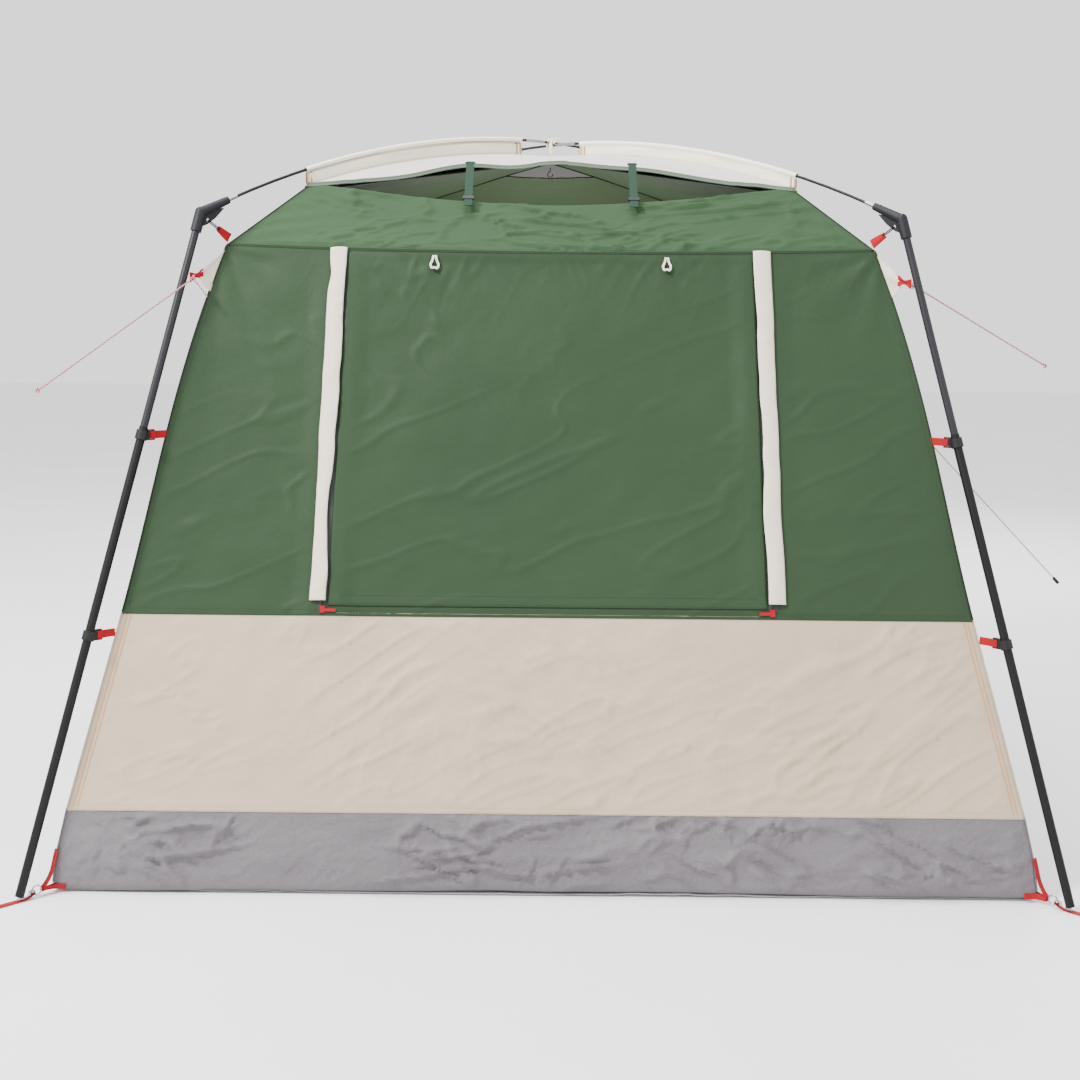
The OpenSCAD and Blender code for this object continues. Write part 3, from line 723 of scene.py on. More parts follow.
def cloth(name, colour, gloss=0.50, vary=0.10, weave=1400, crinkle=0.5, sheen=0.03, spec=0.12, folds=28,
          depth=0.0035):
    """Woven polyester: threads both ways, faint streaks, fine crinkles and a little dust."""
    m = Nodes(name)
    flat, place = m.where(uv=True), m.where()
    broad = m.noise(place, 2.2, 4.0, 0.6)
    fine = m.noise(m.scaled(place, (60, 60, 60)), 1.0, 5.0, 0.65)
    warp, weft = m.wave(flat, weave / 20, "X", 0.3), m.wave(flat, weave / 20, "Y", 0.3)
    threads = m.maths("MULTIPLY", warp, weft)
    mixed = m.maths("ADD", m.maths("MULTIPLY", broad, 0.75), m.maths("MULTIPLY", fine, 0.25))
    m.colour(m.ramp(mixed,
                    [(0.30, tint(colour, 1 - vary)), (0.52, colour), (0.72, tint(colour, 1 + vary))]))
    m.roughness(fine, gloss - 0.06, gloss + 0.10)
    crumple = m.noise(m.scaled(place, (folds, folds, folds * 1.2)), 1.0, 6.0, 0.62)
    low = m.bump(crumple, depth, crinkle)
    top = m.bump(threads, 0.00025, 0.25, low)
    m.link(top, m.shader.inputs["Normal"])
    m.set(Sheen_Weight=sheen, Sheen_Roughness=0.5, Specular_IOR_Level=spec)
    return m.material


def webbing(name, colour, pitch=420):
    """Woven tape with ribs along and across."""
    m = Nodes(name)
    place = m.where()
    ribs = m.wave(place, pitch / 6, "Z", 0.4)
    fibre = m.noise(m.scaled(place, (900, 900, 900)), 1.0, 3.0, 0.6)
    rows = m.wave(m.scaled(place, (1, 1, 0)), pitch / 6, "DIAGONAL", 0.2)
    both = m.maths("ADD", m.maths("MULTIPLY", ribs, 0.5), m.maths("MULTIPLY", rows, 0.5))
    m.colour(m.ramp(m.maths("ADD", m.maths("MULTIPLY", both, 0.5), m.maths("MULTIPLY", fibre, 0.5)),
                    [(0.2, tint(colour, 0.72)), (0.5, colour), (0.8, tint(colour, 1.22))]))
    m.roughness(fibre, 0.62, 0.82)
    m.link(m.bump(both, 0.0004, 0.6, m.bump(fibre, 0.0002, 0.3)), m.shader.inputs["Normal"])
    m.set(Sheen_Weight=0.03, Specular_IOR_Level=0.15)
    return m.material


def plastic(name, colour, gloss=0.42, grain=1.0):
    """Moulded plastic: fine grain, scuffs that dull it, slightly paler wear."""
    m = Nodes(name)
    place = m.where()
    grit = m.noise(m.scaled(place, (650, 650, 650)), 1.0, 3.0, 0.6)
    wear = m.noise(place, 38, 5.0, 0.65)
    m.colour(m.ramp(wear, [(0.25, tint(colour, 0.82)), (0.55, colour), (0.80, tint(colour, 1.5))]))
    m.roughness(wear, gloss - 0.06, gloss + 0.16)
    m.link(m.bump(grit, 0.00022 * grain, 0.45), m.shader.inputs["Normal"])
    m.set(Specular_IOR_Level=0.22)
    return m.material


def tube_paint(name, colour, gloss=0.32, coat=0.3):
    """Enamelled steel: drawn streaks along the tube and small rub marks."""
    m = Nodes(name)
    place = m.where()
    streak = m.noise(m.scaled(place, (240, 240, 9)), 1.0, 4.0, 0.6)
    rub = m.noise(place, 26, 6.0, 0.7)
    m.colour(m.ramp(rub, [(0.30, tint(colour, 0.85)), (0.60, colour), (0.86, tint(colour, 1.45))]))
    m.roughness(m.maths("MULTIPLY", m.maths("ADD", streak, rub), 0.5), gloss - 0.06, gloss + 0.18)
    m.link(m.bump(streak, 0.00012, 0.25), m.shader.inputs["Normal"])
    m.set(Coat_Weight=coat, Coat_Roughness=0.25, Specular_IOR_Level=0.22)
    return m.material


def metal(name, colour, gloss=0.22):
    m = Nodes(name)
    place = m.where()
    brushed = m.noise(m.scaled(place, (500, 500, 120)), 1.0, 4.0, 0.6)
    m.colour(m.ramp(brushed, [(0.25, tint(colour, 0.8)), (0.75, tint(colour, 1.08))]))
    m.roughness(brushed, gloss - 0.05, gloss + 0.15)
    m.link(m.bump(brushed, 0.00008, 0.25), m.shader.inputs["Normal"])
    m.set(Metallic=1.0)
    return m.material


def braid(name, ground, fleck, turns=125):
    """Round braided cord with a coloured fleck that winds round it."""
    m = Nodes(name)
    flat = m.where(uv=True)
    parts = m.add("ShaderNodeSeparateXYZ")
    m.link(flat, parts.inputs["Vector"])
    wind = m.maths("ADD", parts.outputs["X"], m.maths("MULTIPLY", parts.outputs["Y"], turns))
    back = m.maths("SUBTRACT", parts.outputs["X"], m.maths("MULTIPLY", parts.outputs["Y"], turns))
    stripe = m.maths("FRACT", wind, 0)
    cross = m.maths("FRACT", back, 0)
    both = m.maths("MULTIPLY", m.maths("GREATER_THAN", stripe, 0.30), m.maths("GREATER_THAN", cross, 0.15))
    m.colour(m.ramp(both, [(0.45, ground), (0.55, fleck)]))
    strands = m.maths("ADD", m.maths("SINE", m.maths("MULTIPLY", wind, 25.1), 0),
                      m.maths("SINE", m.maths("MULTIPLY", back, 25.1), 0))
    m.link(m.bump(strands, 0.0003, 0.5), m.shader.inputs["Normal"])
    m.set(Roughness=0.72, Sheen_Weight=0.03, Specular_IOR_Level=0.2)
    return m.material


def netting(name, colour, see_through):
    """Fine insect mesh: holes too small to see, so it lets some light by."""
    m = Nodes(name)
    flat, place = m.where(uv=True), m.where()
    holes = m.maths("MULTIPLY", m.wave(flat, 45, "X"), m.wave(flat, 45, "Y"))
    broad = m.noise(place, 3.0)
    m.colour(m.ramp(broad, [(0.3, tint(colour, 0.85)), (0.7, tint(colour, 1.15))]))
    m.link(m.bump(holes, 0.0003, 0.5), m.shader.inputs["Normal"])
    m.set(Roughness=0.75, Alpha=1 - see_through)
    return m.material


GREEN = (0.0235, 0.0440, 0.0215)
MAT = {
    "green": cloth("green_cloth", GREEN, 0.46, 0.07, crinkle=0.35),
    # Roof slopes: the walls' green made about a third lighter, painted light from above; the lamps light them as well
    "slope": cloth("slope_cloth_painted_toplight", (0.0300, 0.0600, 0.0280), 0.55, 0.09, crinkle=0.55, spec=0.05),
    "cream": cloth("cream_cloth", (0.45, 0.36, 0.262), 0.52, 0.05, crinkle=0.9),
    "flap": cloth("flap_cloth", (0.68, 0.60, 0.49), 0.52, 0.04, crinkle=0.6),
    # Fly: the sleeves' cream cloth darkened to grey, painted shade
    "fly": cloth("fly_cloth_painted_shade", (0.56, 0.535, 0.49), 0.55, 0.03, crinkle=0.4),
    "sleeve": cloth("sleeve_cloth", (0.86, 0.80, 0.66), 0.55, 0.03, crinkle=0.4),
    "grey": cloth("grey_cloth", (0.145, 0.132, 0.142), 0.44, 0.10, crinkle=1.0, folds=42, depth=0.0080),
    "floor": cloth("floor_cloth", (0.30, 0.29, 0.30), 0.46, 0.08, crinkle=0.8),
    "ceiling": cloth("ceiling_cloth", (0.035, 0.054, 0.026), 0.5, 0.07, crinkle=0.4),
    "edging": cloth("edging_cloth", (0.10, 0.14, 0.095), 0.5, 0.06, crinkle=0.3),
    "net": netting("window_netting", (0.030, 0.032, 0.030), 0.35),
    "grey_net": netting("roof_netting", (0.055, 0.053, 0.047), 0.08),
    "red": webbing("red_webbing", (0.30, 0.0015, 0.0075)),
    "strap": webbing("strap_webbing", (0.012, 0.034, 0.021)),
    "black": plastic("black_plastic", (0.010, 0.010, 0.011), 0.40),
    "elbow": plastic("elbow_plastic", (0.011, 0.011, 0.014), 0.48, 1.5),
    "upper": tube_paint("upper_tube_paint", (0.017, 0.017, 0.020), 0.34, 0.04),
    "lower": tube_paint("lower_tube_paint", (0.0035, 0.0035, 0.0038), 0.46, 0.0),
    "rod": tube_paint("rod_glass_fibre", (0.007, 0.0072, 0.009), 0.34, 0.04),
    "steel": metal("plated_steel", (0.46, 0.46, 0.48)),
    "ferrule": metal("ferrule_aluminium", (0.36, 0.36, 0.38), 0.34),
    "elastic": webbing("elastic_cord", (0.004, 0.004, 0.005), 900),
    "piping": cloth("dark_piping", (0.014, 0.018, 0.012), 0.6, 0.08),
    "coil": plastic("zip_coil", (0.030, 0.036, 0.030), 0.36),
    "peach": cloth("peach_seam", (0.52, 0.29, 0.15), 0.55, 0.05, crinkle=0.2),
    "thread": cloth("peach_thread", (0.50, 0.30, 0.17), 0.6, 0.05),
    "green_thread": cloth("green_thread", (0.013, 0.023, 0.012), 0.6, 0.05),
    "guy": braid("guy_braid", (0.60, 0.50, 0.48), (0.30, 0.0015, 0.010)),
}


# ---- Guy lines come first: their ends fix the view of the cords ----

def run(start, end, steps):
    start, end = np.array(start, float), np.array(end, float)
    return start + (end - start) * np.linspace(0, 1, steps + 1)[:, None]


GUYS = {
    "guy_front_left": run((-0.920, -0.945, 1.546), (-1.223, -1.300, 1.265), 16),
    "guy_front_right": run((0.940, -0.915, 1.546), (1.322, -0.850, 1.336), 16),
    "guy_back_right": run((0.940, 0.918, 1.544), (2.059, 1.200, 0.437), 44),
}
GUY_D = 0.004


def knot(name, at, way, size=0.0042):
    """A small overhand knot: one closed turn that crosses itself, wound round the line."""
    way = unit(way)
    side = unit(np.cross(way, [0, 0, 1]))
    up = np.cross(side, way)
    turns = np.linspace(0, math.tau, 49)[:, None]
    reach = size * (1.1 + 0.3 * np.cos(3 * turns))
    path = at + way * size * 1.1 * np.sin(2 * turns) + reach * (side * np.cos(turns) + up * np.sin(turns))
    return tube_piece(name, path[:-1], 0.0019, MAT["guy"], ROOT, "guy_cord", 8, across=way)


def guy_lines():
    for name, path in GUYS.items():
        way = unit(path[-1] - path[0])
        line = tube_piece(name + "_line", path, GUY_D / 2, MAT["guy"], ROOT, "guy_cord", 10)
        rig.replaces(line, name)
        tied = path[0] + way * 0.004
        pieces = [knot(name + "_hitch", tied, way)]
        if name == "guy_front_left":
            hang = [(0.006, -0.006, -0.012), (0.022, -0.008, -0.032), (0.034, -0.006, -0.050)]
            tail = smooth_path([tied] + [path[0] + h for h in hang], 8)
            pieces.append(tube_piece(name + "_tail", tail, 0.0019, MAT["guy"], ROOT, "guy_cord", 8))
        if name == "guy_back_right":
            pieces.append(nodes["guy_tensioner"])
            far_end = "fitting"
        else:
            pieces.append(knot(name + "_stop", path[-1] - way * 0.005, way, 0.0034))
            far_end = "knot"
        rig.cord(line, exit=path[0], length=float(np.linalg.norm(path[-1] - path[0])), diameter=GUY_D,
                far_end=far_end, stiffness="limp", lay="taut", path=path, with_pieces=pieces)


# ---- Stitching ----

STITCHES = {}


def stitch_row(colour, body, points, normals, pitch=0.0052, long=0.0036, wide=0.0008, high=0.0006):
    """Adds a row of stitches along points to the stitching of one colour on one body."""
    lengths = lengths_along(points)
    normals = np.broadcast_to(normals, points.shape)
    starts = np.arange(pitch / 2, lengths[-1] - long, pitch)
    bag = STITCHES.setdefault((colour, body), [])
    ends = [np.stack([np.interp(starts + d, lengths, points[:, k]) for k in range(3)], axis=1)
            for d in (0, long)]
    outs = np.stack([np.interp(starts, lengths, normals[:, k]) for k in range(3)], axis=1)
    for a, b, n in zip(ends[0], ends[1], outs):
        across = unit(np.cross(b - a, n)) * wide / 2
        mid, lift = (a + b) / 2, n * high
        sunk = n * 0.0002
        bag.append(np.array([a - sunk, mid - across, b - sunk, mid + across, mid + lift, mid - n * 0.0006]))


def stitching():
    faces = [(0, 1, 4), (1, 2, 4), (2, 3, 4), (3, 0, 4), (1, 0, 5), (2, 1, 5), (3, 2, 5), (0, 3, 5)]
    for (colour, body), bag in STITCHES.items():
        points = np.concatenate(bag)
        all_faces = [tuple(k * 6 + i for i in f) for k in range(len(bag)) for f in faces]
        mesh_piece(f"stitching_{colour}_{body}", points, all_faces, MAT[colour], body, smooth=False)


def wall_normal(side, z):
    slope = wall_lean(np.asarray(z))
    size = np.sqrt(1 + slope ** 2)
    n = stack(0 * size, -1 / size, -slope / size)
    return turned(n, TURNS[side])


def wall_stitch(colour, side, x, z, lift=0.0, body=ROOT):
    """A row of stitches on a wall through lateral places x and heights z, as arrays."""
    x, z = np.broadcast_arrays(np.asarray(x, float), np.asarray(z, float))
    stitch_row(colour, body, wall(side, x, z, lift), wall_normal(side, z))


# ---- Cabin cloth ----

def minus(limit):
    return lambda z: -limit(z)


def lap(t):
    """Lifts a sheet's lowest edge where it laps over the sheet below."""
    return 0.0016 * np.exp(-t / 0.02)


def short_lap(t):
    """The same for the long green strips, gone before the sliders' resting place."""
    return 0.0016 * np.exp(-t / 0.004)


def tub_and_bands():
    for side in TURNS:
        tub = wall_piece(f"tub_{side}", side, 0.003, TUB_TOP + 0.004, minus(half_width), half_width,
                         MAT["grey"], slot="grey_fabric", pitch=0.0065)
        if side == "front":
            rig.replaces(tub, "tub_walls")
        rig.sheet(tub, flat=(2.48, 0.27), held="stretched", rests_on=["floor_sheet"])
        rise = -0.004 if side == "back" else 0.010
        wall_stitch("thread", side, np.linspace(-1.19, 1.19, 300), TUB_TOP + rise, 0.0012)
        if side == "back":
            for hand, sign in (("left", 1), ("right", -1)):
                edges = sorted([lambda z, s=sign: s * (-half_width(z)), lambda z, s=sign: s * -door_zip(z)],
                               key=lambda f: f(0.4))
                band = wall_piece(f"cream_back_{hand}", side, TUB_TOP - 0.004, BAND_TOP + 0.003, edges[0],
                                  edges[1], MAT["cream"], slot="cream_fabric", edge_lift=lap)
                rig.sheet(band, flat=(0.76, 0.51), held="stretched", rests_on=["tub_back"])
            continue
        band = wall_piece(f"cream_{side}", side, TUB_TOP - 0.004, BAND_TOP + 0.003, minus(half_width),
                          half_width, MAT["cream"], slot="cream_fabric", edge_lift=lap)
        if side == "front":
            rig.replaces(band, "cream_walls")
        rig.sheet(band, flat=(2.42, 0.51), held="stretched", rests_on=[f"tub_{side}"])


def green_walls():
    low = BAND_TOP - 0.005
    for side in ("left", "right"):
        whole = wall_piece(f"green_{side}", side, low, eaves_z, minus(half_width), half_width, MAT["green"],
                           slot="green_fabric", edge_lift=lap)
        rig.replaces(whole, f"green_wall_{side}")
        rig.sheet(whole, flat=(2.18, 0.97), held="stretched", rests_on=[f"cream_{side}"], area=1.9)
    for side, zip_at in (("front", window_zip), ("back", door_zip)):
        for hand, sign in (("left", -1), ("right", 1)):
            edges = sorted([lambda z, s=sign: s * half_width(z), lambda z, s=sign: s * zip_at(z)],
                           key=lambda f: f(1.0))
            strip = wall_piece(f"green_{side}_{hand}", side, low, eaves_z, edges[0], edges[1], MAT["green"],
                               slot="green_fabric", edge_lift=short_lap)
            if hand == "left":
                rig.replaces(strip, f"green_wall_{side}")
            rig.sheet(strip, flat=(0.58, 0.97), held="stretched",
                     rests_on=["cream_front" if side == "front" else f"cream_back_{hand}"], area=0.45)
        header = wall_piece(f"green_{side}_header", side, PANEL_TOP - 0.004, eaves_z, minus(zip_at), zip_at,
                            MAT["green"], slot="green_fabric", lift=0.0006)
        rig.sheet(header, flat=(2 * float(zip_at(PANEL_TOP)), 0.0125), held="stretched",
                 rests_on=[f"green_{side}_left"])
    sill = wall_piece("green_front_sill", "front", low, WINDOW_SILL + 0.004, minus(window_zip), window_zip,
                      MAT["green"], slot="green_fabric", edge_lift=lap)
    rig.sheet(sill, flat=(1.16, 0.032), held="stretched", rests_on=["cream_front"])


def roof_slopes():
    for side in TURNS:
        fine = 0.006 if side == "front" else 0.010
        t, q = spread((0, 1, int(0.26 / fine)), (-1, 1, int(1.65 / fine)))
        grid = slope_points(side, q, t)
        uv = stack(q * 0.8, t * 0.26)
        # The slopes take the lighter green, which carries painted light from above
        slope = grid_piece(f"slope_{side}", grid, uv, MAT["slope"], slot="slope_fabric")
        if side == "front":
            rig.replaces(slope, "roof_slopes")
        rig.sheet(slope, flat=(1.72, 0.26), held="stretched", rests_on=["pole_sleeves"], area=0.39)
        # Felled seam along the eaves
        q = np.linspace(-0.995, 0.995, 240)
        seam = slope_points(side, q, 0 * q + 0.004, 0.0012)
        swept_piece(f"eaves_seam_{side}", seam, flat_section(0.007, 0.0022),
                    turned([0, -0.25, 0.97], TURNS[side]), MAT["green"], slot="green_fabric")
        for t0 in (0.035, 0.065):
            row = slope_points(side, q, 0 * q + t0, 0.0002)
            stitch_row("green_thread", ROOT, row, turned(unit([0, -0.7, 0.7]), TURNS[side]))


def corner_line(turn, low, high, count):
    """Points up a corner seam between two heights."""
    z = np.linspace(low, high, count)
    a = half_width(z)
    return turned(stack(a * ROOT2, 0 * a, z), turn)


def seam_spans(side):
    """Where the seam over the cream band runs: short of the zips, and at the back clear of the door."""
    end = BAND_HALF - 0.020
    if side not in ("front", "back"):
        return [(-end, end)]
    zip_at = float((window_zip if side == "front" else door_zip)(BAND_TOP))
    spans = [(-end, -zip_at - 0.014), (zip_at + 0.014, end)]
    return spans + [(-zip_at + 0.014, zip_at - 0.014)] if side == "front" else spans


def corner_seams():
    for corner, turn in CORNER_TURNS.items():
        ridge_t = np.linspace(0, 1, 12)
        ridge = stack((EAVES_HALF + (RIDGE_TOP_HALF - EAVES_HALF) * ridge_t) * ROOT2, 0 * ridge_t,
                      EAVES + (RIDGE_TOP_Z - EAVES) * ridge_t)
        green = np.concatenate([corner_line(turn, BAND_TOP, EAVES, 60)[:-1], turned(ridge, turn)])
        out = turned([0.0, 1.0, 0.0], turn)
        tube_piece(f"corner_seam_green_{corner}", green, 0.0020, MAT["piping"], ROOT, "green_fabric", 8,
                   across=out)
        tube_piece(f"corner_seam_cream_{corner}", corner_line(turn, TUB_TOP, BAND_TOP, 24), 0.0018,
                   MAT["cream"], ROOT, "cream_fabric", 8, across=out)
        tube_piece(f"corner_seam_grey_{corner}", corner_line(turn, 0.03, TUB_TOP, 16), 0.0020, MAT["grey"],
                   ROOT, "grey_fabric", 8, across=out)
    for side in TURNS:
        z = np.linspace(TUB_TOP + 0.004, BAND_TOP - 0.004, 90)
        across = turned([1.0, 0.0, 0.0], TURNS[side])
        for inset in (0.016, 0.026):
            for sign in (-1, 1):
                line = wall(side, sign * (half_width(z) - inset), z, 0.0004)
                swept_piece(f"seam_{side}_{sign}_{inset}", line, flat_section(0.0028, 0.0009), across,
                            MAT["peach"], ROOT, "cream_fabric")
                wall_stitch("thread", side, sign * (half_width(z) - inset), z, 0.0009)
        z = np.linspace(BAND_TOP + 0.01, EAVES - 0.02, 150)
        for sign in (-1, 1):
            wall_stitch("green_thread", side, sign * (half_width(z) - 0.014), z, 0.0003)
        for left, right in seam_spans(side):
            x = np.linspace(left, right, 200)
            for rise in (0.004, 0.010):
                wall_stitch("green_thread", side, x, BAND_TOP + rise, 0.0016)


# ---- Fly, ceiling, sleeves ----

def ceiling_drop(t):
    """How far the ceiling hangs below the fly from its edge (0) to the top (1)."""
    return 0.018 + 0.032 * np.sin(np.pi * np.clip(t, 0, 1))


def fly_and_ceiling():
    for side in TURNS:
        fine = 0.008 if side == "front" else 0.012
        t, q = spread((0, 1, int(0.66 / fine)), (-1, 1, int(1.3 / fine)))
        # The fly takes the sleeve cloth darkened with painted shade
        fly = grid_piece(f"fly_{side}", fly_points(side, q, t), stack(q * 0.6, t * 0.65), MAT["fly"],
                         slot="sleeve_fabric")
        if side == "front":
            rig.replaces(fly, "roof_fly")
        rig.sheet(fly, flat=(1.34, 0.70), held="stretched", rests_on=["pole_sleeves"], area=0.45)
        q = np.linspace(-1, 1, 160)
        hem = fly_points(side, q, 0 * q)
        swept_piece(f"fly_hem_{side}", hem - [0, 0, 0.002], flat_section(0.012, 0.0030),
                    turned([0, -0.25, -0.97], TURNS[side]), MAT["edging"], slot="slope_fabric")
        if side == "front":
            continue
        stop = NET_FOOT if side == "back" else 1.0
        t, q = spread((0, stop, 40), (-1, 1, 80))
        under = fly_points(side, q * 0.985, t, drop=ceiling_drop(t))
        roof = grid_piece(f"ceiling_{side}", under, stack(q * 0.6, t * 0.65), MAT["ceiling"],
                          slot="ceiling_fabric")
        if side == "left":
            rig.replaces(roof, "ceiling")
        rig.sheet(roof, flat=(1.34, 0.70), held="stretched", rests_on=[f"fly_{side}"], area=0.45)
    t, q = spread((NET_FOOT + 0.003, 1.0, 14), (-1, 1, 30))
    net = grid_piece("ceiling_net", fly_points("back", q * 0.985, t, drop=ceiling_drop(t)),
                     stack(q * 0.2, t * 0.65), MAT["grey_net"], slot="grey_mesh")
    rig.replaces(net, "ceiling_mesh")
    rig.sheet(net, flat=(0.30, 0.15), held="stretched", rests_on=["ceiling_back"], area=0.0225)
    pipes = []
    for corner, turn in CORNER_TURNS.items():
        a = np.linspace(0.655, 0.012, 30)
        z = ridge_z(a) - ceiling_drop(1 - (a - FLY_TIP) / 0.662) - 0.003
        line = turned(stack(a * ROOT2, 0 * a, z), turn)
        pipes.append(tube_piece(f"piping_{corner}", line, 0.0018, MAT["piping"], ROOT, None, 8,
                                across=turned([0.0, 1.0, 0.0], turn)))
    q = np.linspace(-1, 1, 20)
    edge = fly_points("back", q * 0.985, 0 * q + NET_FOOT, drop=ceiling_drop(NET_FOOT) + 0.002)
    pipes.append(tube_piece("piping_net", edge, 0.0018, MAT["piping"], ROOT, None, 8))
    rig.replaces(join("ceiling_piping_cord", pipes, ROOT, "black_trim"), "ceiling_piping")


def sleeves():
    """A tunnel round each rod with a doubled web that runs down to the fly's ridge."""
    for corner, turn in CORNER_TURNS.items():
        top = APEX_Z if corner in ("fl", "br") else APEX_Z - LOWER_ROD_DROP
        r = np.linspace(SLEEVE_FROM, SLEEVE_TO, 130)
        half = 0.0066
        angles = np.radians(np.linspace(-62, 242, 15))
        rows = []
        for rr in r:
            z = float(arc_height(rr, top))
            slope = -rr / math.sqrt(arc_radius(APEX_Z) ** 2 - rr ** 2)
            up = unit([-slope, 0, 1])
            foot = float(ridge_z(rr / ROOT2)) - 0.002
            drop = (z - foot) / up[2]
            end = step(0, 0.02, rr - SLEEVE_FROM) * step(0, 0.02, SLEEVE_TO - rr)
            sway = 0.0022 * float(noise(np.array(rr / 0.09), np.array(0.5), turn)) * end
            ring = [(half * math.cos(a), half * math.sin(a)) for a in angles]
            wave = [(f, sway * math.sin(math.pi * f) * 3) for f in (0.28, 0.5, 0.75, 1.0)]
            left = [(w - 0.0016, -drop * f) for f, w in wave]
            right = [(w + 0.0016, -drop * f) for f, w in wave[::-1]]
            rows.append([(rr + y * up[0], x, z + y * up[2]) for x, y in ring + left + right])
        rings = turned(np.array(rows), turn)
        n, cols = rings.shape[:2]
        faces = grid_faces(n, cols)
        uv = stack(np.linspace(0, 0.11, cols)[None, :], r[:, None])
        sleeve = mesh_piece(f"sleeve_{corner}", rings.reshape(-1, 3), faces, MAT["sleeve"], ROOT,
                            uv.reshape(-1, 2), "sleeve_fabric")
        if corner == "fl":
            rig.replaces(sleeve, "pole_sleeves")
        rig.sheet(sleeve, flat=(0.12, 0.85), held="stretched",
                 rests_on=["roof_rod_a" if top == APEX_Z else "roof_rod_b"])
        for inset in (0.004, 0.018):
            for rr in (SLEEVE_TO - inset, SLEEVE_FROM + inset):
                z = float(arc_height(rr, top))
                foot = float(ridge_z(rr / ROOT2))
                for y in (-0.0026, 0.0026):
                    line = turned(np.linspace([rr, y, z - 0.009], [rr, y, foot + 0.002], 8), turn)
                    swept_piece(f"hem_{corner}_{rr:.3f}_{y > 0}", line, flat_section(0.0055, 0.0010),
                                turned([1.0, 0.0, 0.0], turn), MAT["peach"], ROOT, "sleeve_fabric")
                    stitch_row("thread", ROOT, line, turned([0, math.copysign(1, y), 0], turn))


def apex_tape():
    """Cream tape tied round the crossing in a small bow, with a leg down to the fly."""
    pieces = []
    top = APEX_Z + 0.007
    leg = np.array([[0, -0.009, z] for z in np.linspace(top, float(ridge_z(0.01)) + 0.004, 16)])
    leg[:, 1] -= 0.004 * np.sin(np.linspace(0, math.pi, 16))
    pieces.append(swept_piece("tape_leg", leg, flat_section(0.011, 0.0012), [1, 0, 0], MAT["sleeve"]))
    turn = [(0.0105 * math.cos(a), 0.0105 * math.sin(a)) for a in np.linspace(0, math.tau, 33)]
    for k, tilt in enumerate((0.7, -0.7)):
        c, s = math.cos(tilt), math.sin(tilt)
        path = np.array([(x * c, x * s - 0.001, APEX_Z - 0.0045 + y * 1.05) for x, y in turn])
        pieces.append(swept_piece(f"tape_turn_{k}", path[:-1], flat_section(0.0012, 0.010),
                                  unit([-s, c, 0.01]), MAT["sleeve"]))
    bows = {
        "tape_bow_right": [(0.002, -0.008, 2.007), (0.012, -0.010, 2.013), (0.026, -0.012, 2.010),
                           (0.030, -0.010, 2.003), (0.016, -0.012, 2.002), (0.002, -0.009, 2.006)],
        "tape_bow_left": [(-0.002, -0.008, 2.006), (-0.014, -0.010, 2.010), (-0.025, -0.012, 2.004),
                          (-0.022, -0.012, 1.997), (-0.010, -0.012, 2.001), (-0.002, -0.009, 2.005)],
        "tape_tail": [(0.002, -0.010, 2.006), (0.010, -0.014, 2.001), (0.015, -0.016, 1.990),
                      (0.018, -0.015, 1.978)],
    }
    for name, points in bows.items():
        pieces.append(swept_piece(name, smooth_path(points, 8), flat_section(0.008, 0.0010),
                                  unit([0, 1, 0.25]), MAT["sleeve"]))
    tape = join("apex_tape", pieces, ROOT, "sleeve_fabric")
    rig.replaces(tape, "apex_tie")
    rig.sheet(tape, flat=(0.011, 0.46), held="folded", rests_on=["roof_rod_a", "roof_rod_b"])


# ---- Window and door ----

def panel_hem(t):
    """A panel is thicker along its turned hem and dips where it is sewn."""
    return 0.0010 * (1 - step(0.028, 0.031, t)) - 0.0018 * step(0.985, 1.0, t)


def panel_sheet(name, side, low, zip_at, lift, body, node, flat):
    """The roll-up panel, sewn at its top and free below, with a turned hem."""
    piece = wall_piece(name, side, low, PANEL_TOP + 0.006, lambda z: PANEL_GAP - zip_at(z),
                       lambda z: zip_at(z) - PANEL_GAP, MAT["green"], body=None, slot="green_fabric",
                       lift=lift, edge_lift=panel_hem)
    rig.replaces(piece, node)
    top = wall(side, 0.0, PANEL_TOP + 0.003, lift)
    end = wall(side, 0.0, PANEL_TOP - 0.022, lift)
    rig.sheet(piece, flat=flat, held="hung", rests_on=[f"green_{side}_header"])
    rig.blend(piece, ROOT, body, start=tuple(top), end=tuple(end))


def window_and_door():
    panel_sheet("window_cloth", "front", WINDOW_SILL, window_zip, 0.0023, "window", "window_panel",
                (1.14, 0.95))
    panel_sheet("door_cloth", "back", DOOR_SILL, door_zip, 0.0036, "door", "door_panel", (0.99, 1.46))
    net = wall_piece("window_net", "front", WINDOW_SILL - 0.004, PANEL_TOP + 0.004, minus(window_zip),
                     window_zip, MAT["net"], slot="black_mesh", lift=-0.0012, pitch=0.012, thickness=0.0005)
    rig.replaces(net, "window_mesh")
    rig.sheet(net, flat=(1.15, 0.94), held="stretched", rests_on=["green_front_left"])
    for z in (WINDOW_SILL + 0.026, WINDOW_SILL + 0.005):
        x = np.linspace(-window_zip(z) + 0.038, window_zip(z) - 0.038, 160)
        wall_stitch("green_thread", "front", x, z, 0.0035, "window")
    for z in (DOOR_SILL + 0.040, DOOR_SILL + 0.006):
        x = np.linspace(-door_zip(z) + 0.038, door_zip(z) - 0.038, 160)
        wall_stitch("green_thread", "back", x, z, 0.0048, "door")
    zips("front", window_zip, BAND_TOP + 0.003, 0.0001, "window_zips")
    zips("back", door_zip, TUB_TOP + 0.003, 0.0022, "door_zips")


def zip_line(side, x, z, lift):
    """Points on the straight plane that a side's zips lie in."""
    foot_half, foot_z = (BAND_HALF, BAND_TOP) if side == "front" else (TUB_HALF, TUB_TOP)
    slope = (EAVES_HALF - foot_half) / (EAVES - 0.002 - foot_z)
    size = math.hypot(1, slope)
    flat = foot_half + slope * (z - foot_z)
    return turned(stack(x, -flat - lift / size, z - slope * lift / size), TURNS[side])


